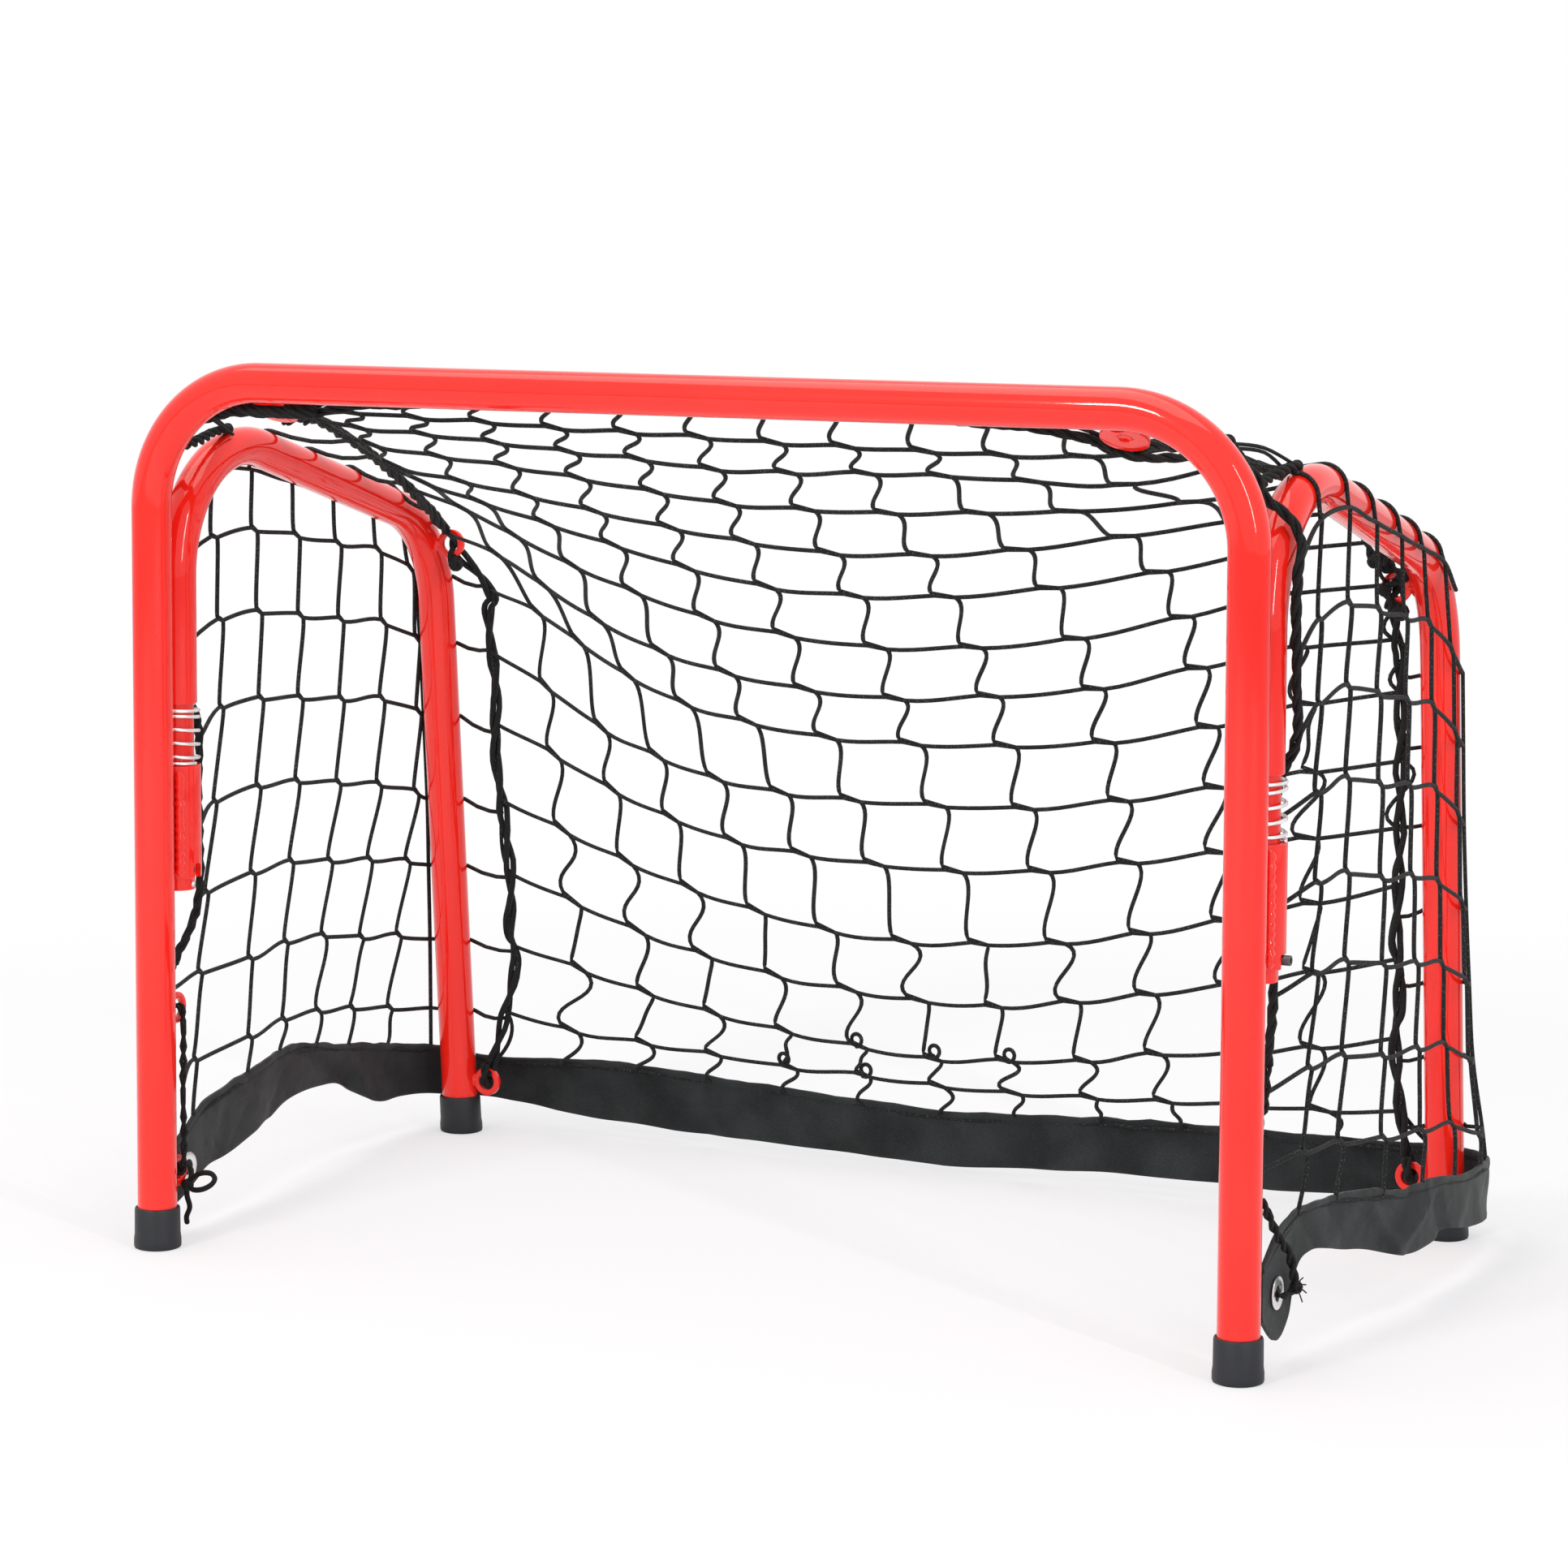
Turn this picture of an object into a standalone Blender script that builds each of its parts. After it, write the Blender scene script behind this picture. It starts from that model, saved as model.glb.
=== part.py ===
"""Mini hockey goal: a bent tube frame with two folding side frames, a knotted net and a hem skirt.

Run with: blender --background --python part.py
Units are metres, +Z is up, and the goal opens towards -Y.
"""
import math

import bmesh
import bpy
from mathutils import Vector

for item in list(bpy.data.objects):
    bpy.data.objects.remove(item, do_unlink=True)

# Driving sizes, in metres
WIDTH = 0.600
HEIGHT = 0.450
DEPTH = 0.313
TUBE_R = 0.010
TUBE_WALL = 0.0011
BEND_R = 0.063
GAP = 0.0003
POST_X = WIDTH / 2 - TUBE_R
BAR_Z = HEIGHT - TUBE_R

# Side frames: the top tube falls and the rear leg splays, each per metre
SIDE_TOP_Z = BAR_Z - 0.017
SIDE_FALL = 0.288
LEG_SPLAY = 0.0894

# Rubber feet
CAP_R = 0.012
CAP_TOP_R = 0.0115
CAP_HEIGHT = 0.021
CAP_FLOOR = 0.003
FOOT_Z = CAP_FLOOR + GAP

# Hinges: a sleeve on the post, a spigot in the sleeve and a spring above it
SPIGOT_R = 0.0083
SPIGOT_WALL = 0.0016
SLEEVE_R = 0.0117
SLEEVE_BOTTOM = 0.187
SLEEVE_TOP = 0.2445
SHOULDER_Z = 0.276
SPIGOT_BOTTOM = 0.1805
SPIGOT_TOP = 0.310
HINGE_Y = TUBE_R + SLEEVE_R + GAP
PIN_R = 0.0024
PIN_Z = 0.191
PIN_PROUD = 0.003
SLOT_TOP = PIN_Z + PIN_R + GAP
SLOT_MARGIN = math.radians(17)
NOTCH_HALF = 0.0032
RIVET_R = 0.0016
RIVET_THICK = 0.0009
RIVET_Z = 0.1837
WELD_R = 0.0014
WELD_X = 0.0079
WELD_Y = 0.0105
SPRING_R = 0.0102
SPRING_WIRE = 0.0011
SPRING_WIDE_TURNS = 4.6
SPRING_CLOSE_TURNS = 2.0
SPRING_CLOSE_PITCH = 0.0029

# Welded eyes that the ropes run through
EYE_R = 0.008
EYE_HOLE_R = 0.0046
EYE_HALF = 0.0013
EYE_REACH = TUBE_R + GAP + EYE_R
MID_EYE_Z = 0.120
LOW_EYE_Z = 0.036
BAR_EYE_X = POST_X - BEND_R - 0.0022
REAR_LOW_EYE_Z = 0.0305

# Net, ropes and skirt
CORD_HALF = 0.0011
ROPE_R = 0.0021
TIE_R = 0.0014
BACK_COLUMNS = 14
BACK_ROWS = 12
SIDE_COLUMNS = 6
SIDE_ROWS = 9
NET_TOP_Y = 0.0170
NET_TOP_Z = BAR_Z + 0.0015
NET_TOP_X = POST_X - 0.0185
NET_TOP_CORNER_Z = BAR_Z - 0.0170
NET_EDGE_X = POST_X + 0.0005
NET_OVER_TUBE = 0.0118
NET_EDGE_OVER = 0.0152
NET_OUTSIDE = POST_X + NET_OVER_TUBE
NET_SIDE_START_Y = 0.046
NET_ABOVE_SKIRT = 1.5 * CORD_HALF + 0.0006
SKIRT_HALF = 0.0008
GROMMET_Y = 0.034
GROMMET_Z = 0.034
GROMMET_R = 0.0078
GROMMET_HOLE_R = 0.0040
GROMMET_BARREL_R = 0.0049
GROMMET_FLANGE = 0.0008

# Plan of the skirt from its front end to the middle of the back: x from the centre, y, bottom z, top z
SKIRT_PLAN = [
    (POST_X + 0.0050, 0.016, 0.012, 0.052),
    (POST_X + 0.0050, 0.034, 0.015, 0.054),
    (POST_X + 0.0050, 0.050, 0.020, 0.056),
    (POST_X + 0.0062, 0.066, 0.022, 0.057),
    (POST_X + 0.0105, 0.320 * DEPTH, 0.026, 0.061),
    (POST_X + 0.0220, 0.543 * DEPTH, 0.024, 0.060),
    (POST_X + 0.0275, 0.750 * DEPTH, 0.020, 0.056),
    (POST_X + 0.0265, DEPTH - 0.0230, 0.017, 0.052),
    (POST_X + 0.0160, DEPTH + 0.0090, 0.014, 0.049),
    (POST_X - 0.0100, DEPTH + 0.0205, 0.012, 0.046),
    (0.690 * POST_X, DEPTH + 0.0205, 0.009, 0.044),
    (0.345 * POST_X, DEPTH + 0.0205, 0.006, 0.041),
    (0.0000, DEPTH + 0.0205, 0.004, 0.040),
]
SKIRT_STEPS = 2

# Mesh resolution
TUBE_SIDES = 12
ROUND_SIDES = 24
BEND_STEPS = 8
EYE_SIDES = 14


def eased(points, steps):
    """A smooth run through points of any size, with steps pieces between neighbours."""
    out = []
    for k in range(len(points) - 1):
        a = points[max(k - 1, 0)]
        b, c = points[k], points[k + 1]
        d = points[min(k + 2, len(points) - 1)]
        for j in range(steps):
            t = j / steps
            out.append(tuple(
                0.5 * (2 * q + (r - p) * t + (2 * p - 5 * q + 4 * r - s) * t ** 2
                       + (3 * q - p - 3 * r + s) * t ** 3)
                for p, q, r, s in zip(a, b, c, d)))
    out.append(tuple(points[-1]))
    return out


# The origin is under the middle of the footprint: front of the feet to back of the skirt
skirt_half = eased(SKIRT_PLAN, SKIRT_STEPS)
back_y = max(y for x, y, low, high in skirt_half) + SKIRT_HALF
SHIFT = Vector((0.0, -(back_y - CAP_R) / 2, 0.0))
print("shift y", round(SHIFT.y, 6))


def material(name, colour, roughness, metallic=0.0):
    made = bpy.data.materials.new(name)
    made.use_nodes = True
    shader = made.node_tree.nodes["Principled BSDF"]
    shader.inputs["Base Color"].default_value = (*colour, 1.0)
    shader.inputs["Roughness"].default_value = roughness
    shader.inputs["Metallic"].default_value = metallic
    return made


def empty(name, place, parent=None):
    made = bpy.data.objects.new(name, None)
    bpy.context.scene.collection.objects.link(made)
    made.location = place + SHIFT - (parent.matrix_world.translation if parent else Vector())
    made.parent = parent
    bpy.context.view_layer.update()
    return made


def node(name, shape, looks, origin, parent=None, smooth=True):
    """Make one named solid; shape is (vertices, faces) in goal coordinates, front axis at y = 0."""
    vertices, faces = shape
    mesh = bpy.data.meshes.new(name)
    mesh.from_pydata([tuple(Vector(v) - origin) for v in vertices], [], faces)
    work = bmesh.new()
    work.from_mesh(mesh)
    bmesh.ops.recalc_face_normals(work, faces=work.faces)
    work.to_mesh(mesh)
    work.free()
    for face in mesh.polygons:
        face.use_smooth = smooth
    mesh.materials.append(material(name, *looks))
    made = bpy.data.objects.new(name, mesh)
    bpy.context.scene.collection.objects.link(made)
    made.parent = parent
    made.location = origin + SHIFT - (parent.matrix_world.translation if parent else Vector())
    if smooth:
        edge_split_by_angle(mesh)
    return made


def edge_split_by_angle(mesh, limit=math.radians(40)):
    """Mark the sharp edges so that round pieces shade smooth and corners stay crisp."""
    work = bmesh.new()
    work.from_mesh(mesh)
    for edge in work.edges:
        if len(edge.link_faces) == 2:
            edge.smooth = edge.calc_face_angle(0.0) < limit
    work.to_mesh(mesh)
    work.free()


def bent_path(corners, radius, steps):
    """Points and tangents of a tube bent at each inner corner."""
    path = [(corners[0], (corners[1] - corners[0]).normalized())]
    for before_point, corner, after_point in zip(corners, corners[1:], corners[2:]):
        before = (corner - before_point).normalized()
        after = (after_point - corner).normalized()
        turn = before.angle(after)
        start = corner - before * radius * math.tan(turn / 2)
        inward = (after - before * before.dot(after)).normalized()
        centre = start + inward * radius
        for k in range(steps + 1):
            a = turn * k / steps
            point = centre - inward * radius * math.cos(a) + before * radius * math.sin(a)
            path.append((point, before * math.cos(a) + inward * math.sin(a)))
    path.append((corners[-1], (corners[-1] - corners[-2]).normalized()))
    return path


def ring(centre, direction, cut, reference, radius, sides):
    """A round section, slid along its direction onto the plane whose normal is cut."""
    across = direction.cross(reference).normalized()
    points = []
    for k in range(sides):
        a = 2 * math.pi * k / sides
        offset = (reference * math.cos(a) + across * math.sin(a)) * radius
        points.append(centre + offset - direction * (offset.dot(cut) / direction.dot(cut)))
    return points


def path_rings(path, reference, radius, sides):
    floor = Vector((0, 0, 1))
    rings = []
    for k, (point, tangent) in enumerate(path):
        cut = floor if k in (0, len(path) - 1) else tangent
        rings.append(ring(point, tangent, cut, reference, radius, sides))
    return rings


def skin(rows, closed):
    """Vertices and side faces of rings joined one to the next; closed joins the last to the first."""
    vertices = [point for row in rows for point in row]
    sides = len(rows[0])
    faces = []
    for k in range(len(rows) if closed else len(rows) - 1):
        here = k * sides
        there = ((k + 1) % len(rows)) * sides
        for j in range(sides):
            n = (j + 1) % sides
            faces.append((here + j, here + n, there + n, there + j))
    return vertices, faces


def hollow_tube(path, reference, outer, inner, sides):
    rows = path_rings(path, reference, outer, sides) + path_rings(path, reference, inner, sides)[::-1]
    return skin(rows, closed=True)


def solid_rod(rows):
    vertices, faces = skin(rows, closed=False)
    sides = len(rows[0])
    faces.append(tuple(range(sides)))
    faces.append(tuple(range(len(vertices) - sides, len(vertices))))
    return vertices, faces


def lathe(centre, axis, reference, profile, sides, closed=True):
    """Turn a profile of (radius, height) about an axis; an open one gets flat ends."""
    rows = [ring(centre + axis * height, axis, axis, reference, radius, sides) for radius, height in profile]
    return skin(rows, closed=True) if closed else solid_rod(rows)


def box(low, high):
    corners = [Vector((x, y, z)) for x in (low[0], high[0]) for y in (low[1], high[1]) for z in (low[2], high[2])]
    faces = [(0, 1, 3, 2), (4, 6, 7, 5), (0, 4, 5, 1), (2, 3, 7, 6), (0, 2, 6, 4), (1, 5, 7, 3)]
    return corners, faces


def cut_away(target, shape):
    """Cut a closed shape out of a node with an exact boolean."""
    cutter = node("cutter", shape, ((0, 0, 0), 1.0), Vector(), smooth=False)
    cutter.hide_render = True
    cutter.display_type = "WIRE"
    bpy.context.view_layer.update()
    change = target.modifiers.new("cut", "BOOLEAN")
    change.operation = "DIFFERENCE"
    change.solver = "EXACT"
    change.object = cutter
    bpy.context.view_layer.update()
    cut = bpy.data.meshes.new_from_object(target.evaluated_get(bpy.context.evaluated_depsgraph_get()))
    target.modifiers.clear()
    target.data = cut
    cut.name = target.name
    while len(cut.materials) > 1:
        cut.materials.pop()
    bpy.data.objects.remove(cutter, do_unlink=True)
    edge_split_by_angle(cut)


def cord(name, points, radius, looks, origin, parent=None, resolution=0):
    """A cord or wire along points, as one unbroken tube with flat ends."""
    curve = bpy.data.curves.new(name, "CURVE")
    curve.dimensions = "3D"
    curve.bevel_depth = radius
    curve.bevel_resolution = resolution
    curve.use_fill_caps = True
    line = curve.splines.new("POLY")
    line.points.add(len(points) - 1)
    for spot, point in zip(line.points, points):
        spot.co = (*(Vector(point) - origin), 1.0)
    route = bpy.data.objects.new(name + "_route", curve)
    bpy.context.scene.collection.objects.link(route)
    bpy.context.view_layer.update()
    mesh = bpy.data.meshes.new_from_object(route.evaluated_get(bpy.context.evaluated_depsgraph_get()))
    vertices = [v.co + origin for v in mesh.vertices]
    faces = [tuple(p.vertices) for p in mesh.polygons]
    bpy.data.objects.remove(route, do_unlink=True)
    work = bmesh.new()
    for v in vertices:
        work.verts.new(v)
    work.verts.ensure_lookup_table()
    for f in faces:
        work.faces.new([work.verts[i] for i in f])
    bmesh.ops.remove_doubles(work, verts=work.verts, dist=0.00001)
    work.verts.index_update()
    shape = ([v.co.copy() for v in work.verts], [tuple(v.index for v in f.verts) for f in work.faces])
    work.free()
    return node(name, shape, looks, origin, parent)


def least_gap(points, radius, apart):
    """Smallest gap of a tube to itself between points at least apart along it."""
    run = [0.0]
    for a, b in zip(points, points[1:]):
        run.append(run[-1] + (b - a).length)
    best = math.inf
    for i, a in enumerate(points):
        for j in range(i + 1, len(points)):
            if run[j] - run[i] >= apart:
                best = min(best, (a - points[j]).length)
    return best - 2 * radius


def along(points, share):
    """The point at a share of a polyline's length."""
    lengths = [(b - a).length for a, b in zip(points, points[1:])]
    left = share * sum(lengths)
    for length, a, b in zip(lengths, points, points[1:]):
        if left <= length:
            return a.lerp(b, left / length)
        left -= length
    return points[-1].copy()


def mesh_net(grid):
    """One closed body of knots and strands: each knot is a small block, each strand joins two of its sides."""
    rows, columns = len(grid), len(grid[0])
    vertices, faces, blocks = [], [], []
    for i in range(rows):
        line = []
        for j in range(columns):
            along_row = grid[i][min(j + 1, columns - 1)] - grid[i][max(j - 1, 0)]
            down = grid[min(i + 1, rows - 1)][j] - grid[max(i - 1, 0)][j]
            out = along_row.cross(down).normalized() * CORD_HALF
            u = along_row.normalized() * CORD_HALF
            v = out.cross(u).normalized() * CORD_HALF
            line.append(len(vertices))
            for su, sv, sn in ((-1, -1, -1), (1, -1, -1), (1, 1, -1), (-1, 1, -1),
                               (-1, -1, 1), (1, -1, 1), (1, 1, 1), (-1, 1, 1)):
                vertices.append(grid[i][j] + u * su + v * sv + out * sn)
            faces.append(tuple(line[j] + k for k in (3, 2, 1, 0)))
            faces.append(tuple(line[j] + k for k in (4, 5, 6, 7)))
        blocks.append(line)
    right, left = (1, 2, 6, 5), (0, 3, 7, 4)
    below, above = (3, 2, 6, 7), (0, 1, 5, 4)
    for i in range(rows):
        for j in range(columns):
            here = blocks[i][j]
            for side, other, inside, there in (
                    (right, left, j + 1 < columns, blocks[i][j + 1] if j + 1 < columns else None),
                    (below, above, i + 1 < rows, blocks[i + 1][j] if i + 1 < rows else None)):
                if not inside:
                    faces.append(tuple(here + k for k in side))
                    continue
                for k in range(4):
                    n = (k + 1) % 4
                    faces.append((here + side[k], here + side[n], there + other[n], there + other[k]))
            if j == 0:
                faces.append(tuple(here + k for k in left))
            if i == 0:
                faces.append(tuple(here + k for k in above))
    return vertices, faces


# Colours seen on the object
RED_PAINT = ((0.80, 0.035, 0.03), 0.28)
RUBBER = ((0.035, 0.045, 0.05), 0.6)
STEEL = ((0.62, 0.62, 0.62), 0.3, 1.0)
DARK_STEEL = ((0.12, 0.12, 0.13), 0.4, 1.0)
NET_CORD = ((0.022, 0.024, 0.025), 0.85)
SKIRT_CLOTH = ((0.03, 0.04, 0.043), 0.5)

X = Vector((1, 0, 0))
Y = Vector((0, 1, 0))
Z = Vector((0, 0, 1))

# Front frame
front_path = bent_path(
    [Vector((-POST_X, 0, FOOT_Z)), Vector((-POST_X, 0, BAR_Z)),
     Vector((POST_X, 0, BAR_Z)), Vector((POST_X, 0, FOOT_Z))], BEND_R, BEND_STEPS)
node("front_tube", hollow_tube(front_path, Y, TUBE_R, TUBE_R - TUBE_WALL, TUBE_SIDES),
     RED_PAINT, Vector((0, 0, BAR_Z)))


def eye(name, centre, normal, parent=None):
    # Eyes whose hole faces the floor turn their sides about X
    reference = Z if abs(normal.z) < 0.5 else X
    profile = [(EYE_HOLE_R, -EYE_HALF), (EYE_R, -EYE_HALF), (EYE_R, EYE_HALF), (EYE_HOLE_R, EYE_HALF)]
    return node(name, lathe(centre, normal, reference, profile, EYE_SIDES), RED_PAINT, centre, parent)


def cap(name, x, y, splay, parent=None):
    """A rubber cup; its bore and wall follow the leg, and its bottom is flat on the floor."""
    def lifted(radius, height):
        middle = Vector((x, y - splay * height, height))
        return ring(middle, Z, Z, X, radius, TUBE_SIDES)
    bore = TUBE_R + GAP
    rows = [lifted(CAP_R, 0), lifted(CAP_TOP_R, CAP_HEIGHT), lifted(bore, CAP_HEIGHT), lifted(bore, CAP_FLOOR)]
    return node(name, solid_rod(rows), RUBBER, Vector((x, y, 0)), parent)


def skirt_at(y):
    """Outer half width and top height of the skirt's side at a distance y behind the front."""
    for a, b in zip(skirt_half, skirt_half[1:]):
        if a[1] <= y <= b[1]:
            t = (y - a[1]) / (b[1] - a[1])
            return a[0] + (b[0] - a[0]) * t, a[3] + (b[3] - a[3]) * t
    return skirt_half[-1][0], skirt_half[-1][3]


def skirt_back_top(x):
    """Top height of the skirt's back at a distance x from the centre."""
    for a, b in zip(skirt_half, skirt_half[1:]):
        if b[0] <= abs(x) <= a[0] and a[1] > DEPTH:
            return a[3] + (b[3] - a[3]) * (a[0] - abs(x)) / (a[0] - b[0])
    return skirt_half[-1][3]


def leg_y(z):
    return DEPTH - LEG_SPLAY * z


def side_corners(x):
    """Corners of a side frame's tube: hinge shoulder, front top, rear top and rear foot."""
    rear_z = (SIDE_TOP_Z - SIDE_FALL * (DEPTH - HINGE_Y)) / (1 - SIDE_FALL * LEG_SPLAY)
    return [Vector((x, HINGE_Y, SHOULDER_Z)), Vector((x, HINGE_Y, SIDE_TOP_Z)),
            Vector((x, leg_y(rear_z), rear_z)), Vector((x, leg_y(FOOT_Z), FOOT_Z))]


def front_post(side, s):
    x = s * POST_X
    cap("front_" + side + "_cap", x, 0.0, 0.0)
    centre = Vector((x, HINGE_Y, 0))
    bore = (SPIGOT_R + GAP) / math.cos(math.pi / ROUND_SIDES)
    sleeve = node(side + "_hinge_sleeve", lathe(
        centre, Z, X, [(bore, SLEEVE_BOTTOM), (SLEEVE_R, SLEEVE_BOTTOM), (SLEEVE_R, SLEEVE_TOP), (bore, SLEEVE_TOP)],
        ROUND_SIDES), RED_PAINT, centre + Z * SLEEVE_BOTTOM)
    # The pin's outer end turns a quarter from outwards to the back
    rows = []
    reach = SLEEVE_R + PIN_PROUD
    turns = 6
    for k in range(turns + 1):
        a = -SLOT_MARGIN + (math.pi / 2 + 2 * SLOT_MARGIN) * k / turns
        ray = Vector((s * math.cos(a), math.sin(a), 0))
        low, high = Z * (SLEEVE_BOTTOM - 0.002), Z * SLOT_TOP
        near = centre + ray * (SPIGOT_R - 0.001)
        far = centre + ray * reach
        rows.append([near + low, far + low, far + high, near + high])
    cut_away(sleeve, solid_rod(rows))
    inner = centre.x - s * SLEEVE_R
    low_x, high_x = sorted((inner - s * 0.001, inner + s * 0.006))
    cut_away(sleeve, box((low_x, HINGE_Y - NOTCH_HALF, SLEEVE_BOTTOM - 0.002),
                         (high_x, HINGE_Y + NOTCH_HALF, SLOT_TOP)))
    for place, across in (("inner", -s), ("outer", s)):
        middle = Vector((x + across * WELD_X, WELD_Y, 0))
        node(side + "_sleeve_" + place + "_weld", lathe(
            middle, Z, X, [(WELD_R, SLEEVE_BOTTOM + 0.004), (WELD_R, SLEEVE_TOP - 0.004)], 6, False),
            RED_PAINT, middle + Z * SLEEVE_BOTTOM)
    eye(side + "_post_mid_eye", Vector((x, EYE_REACH, MID_EYE_Z)), X)
    eye(side + "_post_low_eye", Vector((x, EYE_REACH, LOW_EYE_Z)), X)
    down = EYE_REACH * math.sqrt(0.5)
    eye(side + "_crossbar_eye", Vector((s * BAR_EYE_X, down, BAR_Z - down)), Vector((0, 1, 1)).normalized())

    # Edge rope: outside the top bend, down behind the leg and the sleeve, then through the post's eyes
    behind = HINGE_Y + SLEEVE_R + PIN_PROUD + ROPE_R + 0.0015
    step = EYE_HALF + ROPE_R
    route = [
        Vector((s * (POST_X + 0.0122), HINGE_Y + 0.008, SIDE_TOP_Z - 0.051)),
        Vector((s * (POST_X + 0.0122), HINGE_Y + 0.012, SIDE_TOP_Z - 0.088)),
        Vector((s * (POST_X + 0.0060), behind - 0.0018, SIDE_TOP_Z - 0.123)),
        Vector((x, behind, SLEEVE_TOP + 0.0255)),
        Vector((x, behind, SLEEVE_TOP - 0.0195)),
        Vector((x, behind, SLEEVE_BOTTOM - 0.015)),
        Vector((x + s * step, EYE_REACH + 0.004, MID_EYE_Z + 0.022)),
        Vector((x + s * step, EYE_REACH, MID_EYE_Z + 0.001)),
        Vector((x - s * step, EYE_REACH, MID_EYE_Z - 0.001)),
        Vector((x - s * step, EYE_REACH, (MID_EYE_Z + LOW_EYE_Z) / 2)),
        Vector((x - s * step, EYE_REACH, LOW_EYE_Z + 0.001)),
        Vector((x, EYE_REACH, LOW_EYE_Z)),
    ]
    cord(side + "_front_rope", route, ROPE_R, NET_CORD, Vector((x, behind, SLEEVE_TOP)))

    spot = Vector((s * SKIRT_PLAN[0][0], GROMMET_Y, GROMMET_Z))
    near, far = SKIRT_HALF + GAP, SKIRT_HALF + GAP + GROMMET_FLANGE
    profile = [(GROMMET_HOLE_R, -far), (GROMMET_R, -far), (GROMMET_R, -near), (GROMMET_BARREL_R, -near),
               (GROMMET_BARREL_R, near), (GROMMET_R, near), (GROMMET_R, far), (GROMMET_HOLE_R, far)]
    node(side + "_skirt_grommet", lathe(spot, X, Z, profile, EYE_SIDES), STEEL, spot)
    out = s * (far + 0.7 * TIE_R + GAP)
    tie = [
        spot + Vector((out * 1.5, -0.006, -0.020)),
        spot + Vector((out * 1.4, -0.003, -0.010)),
        spot + Vector((out, 0, -0.001)),
        spot + Vector((-out, 0, 0.001)),
        spot + Vector((-out * 1.3, 0.002, -0.010)),
        spot + Vector((-out * 1.3, 0.004, -0.018)),
    ]
    cord(side + "_skirt_tie", tie, TIE_R, NET_CORD, spot)


for side_name, side_sign in (("left", -1), ("right", 1)):
    front_post(side_name, side_sign)

# Rope behind the crossbar, from eye to eye
rope_y = TUBE_R + ROPE_R + GAP + 0.0004
eye_down = EYE_REACH * math.sqrt(0.5)
half_route = [
    Vector((BAR_EYE_X + 0.008, eye_down - 0.009, BAR_Z - eye_down - 0.010)),
    Vector((BAR_EYE_X, eye_down - 0.0055, BAR_Z - eye_down - 0.0055)),
    Vector((BAR_EYE_X, eye_down + 0.0055, BAR_Z - eye_down + 0.0055)),
    Vector((BAR_EYE_X - 0.020, rope_y, BAR_Z - 0.002)),
    Vector((0.12, rope_y, BAR_Z)),
]
mirrored = [Vector((-p.x, p.y, p.z)) for p in half_route]
cord("crossbar_rope", half_route + mirrored[::-1], ROPE_R, NET_CORD, Vector((0, rope_y, BAR_Z)))

# Skirt: a band of cloth around the back and both sides, hovering above the floor
plan = skirt_half + [(-x, y, low, high) for x, y, low, high in skirt_half[-2::-1]]
skirt_rows = []
for k, (px, py, low, high) in enumerate(plan):
    before = plan[max(k - 1, 0)]
    after = plan[min(k + 1, len(plan) - 1)]
    run = Vector((after[0] - before[0], after[1] - before[1], 0)).normalized()
    side_step = Vector((-run.y, run.x, 0)) * SKIRT_HALF
    middle = Vector((px, py, 0))
    skirt_rows.append([middle - side_step + Z * low, middle + side_step + Z * low,
                       middle + side_step + Z * high, middle - side_step + Z * high])
skirt = node("skirt", solid_rod(skirt_rows), SKIRT_CLOTH, Vector((0, DEPTH, 0)))
for side_sign in (-1, 1):
    spot = Vector((side_sign * SKIRT_PLAN[0][0], GROMMET_Y, GROMMET_Z))
    hole = (GROMMET_BARREL_R + GAP) / math.cos(math.pi / EYE_SIDES)
    cut_away(skirt, lathe(spot, X, Z, [(hole, -0.004), (hole, 0.004)], EYE_SIDES, False))

# Back net: its edges lie on the side tubes and its middle cuts the corner
edge = [Vector((NET_TOP_X, NET_TOP_Y, NET_TOP_CORNER_Z)), Vector((NET_EDGE_X, HINGE_Y + 0.038, SIDE_TOP_Z - 0.009))]
for point, tangent in bent_path(side_corners(POST_X), BEND_R, BEND_STEPS):
    if tangent.y > 0.97 or (tangent.z < 0 and point.z > 0.09):
        out = Vector((0, -tangent.z, tangent.y))
        edge.append(Vector((NET_EDGE_X, point.y, point.z)) + out * NET_EDGE_OVER)
for z in (0.16, 0.09):
    edge.append(Vector((NET_EDGE_X, leg_y(z) + NET_EDGE_OVER, z)))
foot_x = POST_X - 0.007
edge.append(Vector((foot_x, SKIRT_PLAN[-1][1], skirt_back_top(foot_x) + NET_ABOVE_SKIRT)))
centre_line = [
    Vector(p) for p in eased([
        (0, NET_TOP_Y, NET_TOP_Z), (0, 0.351 * DEPTH, 0.761 * BAR_Z),
        (0, 0.655 * DEPTH, 0.511 * BAR_Z), (0, 0.911 * DEPTH, 0.273 * BAR_Z),
        (0, SKIRT_PLAN[-1][1], skirt_back_top(0) + NET_ABOVE_SKIRT)], 4)]
back_grid = []
for i in range(BACK_ROWS + 1):
    v = i / BACK_ROWS
    at_edge = along(edge, v)
    at_middle = along(centre_line, v)
    settle = min(1.0, v * 4)
    row = []
    for j in range(BACK_COLUMNS + 1):
        u = 2 * j / BACK_COLUMNS - 1
        near_bar = 1 - abs(u) ** 12
        hanging = (1 - u * u) ** 2
        share = near_bar + (hanging - near_bar) * settle
        point = at_edge.lerp(at_middle, share)
        point.x = u * at_edge.x
        if i == BACK_ROWS:
            point.z = skirt_back_top(point.x) + NET_ABOVE_SKIRT
        row.append(point)
    back_grid.append(row)
node("back_net", mesh_net(back_grid), NET_CORD, Vector((0, NET_TOP_Y, NET_TOP_Z)), smooth=False)


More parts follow.
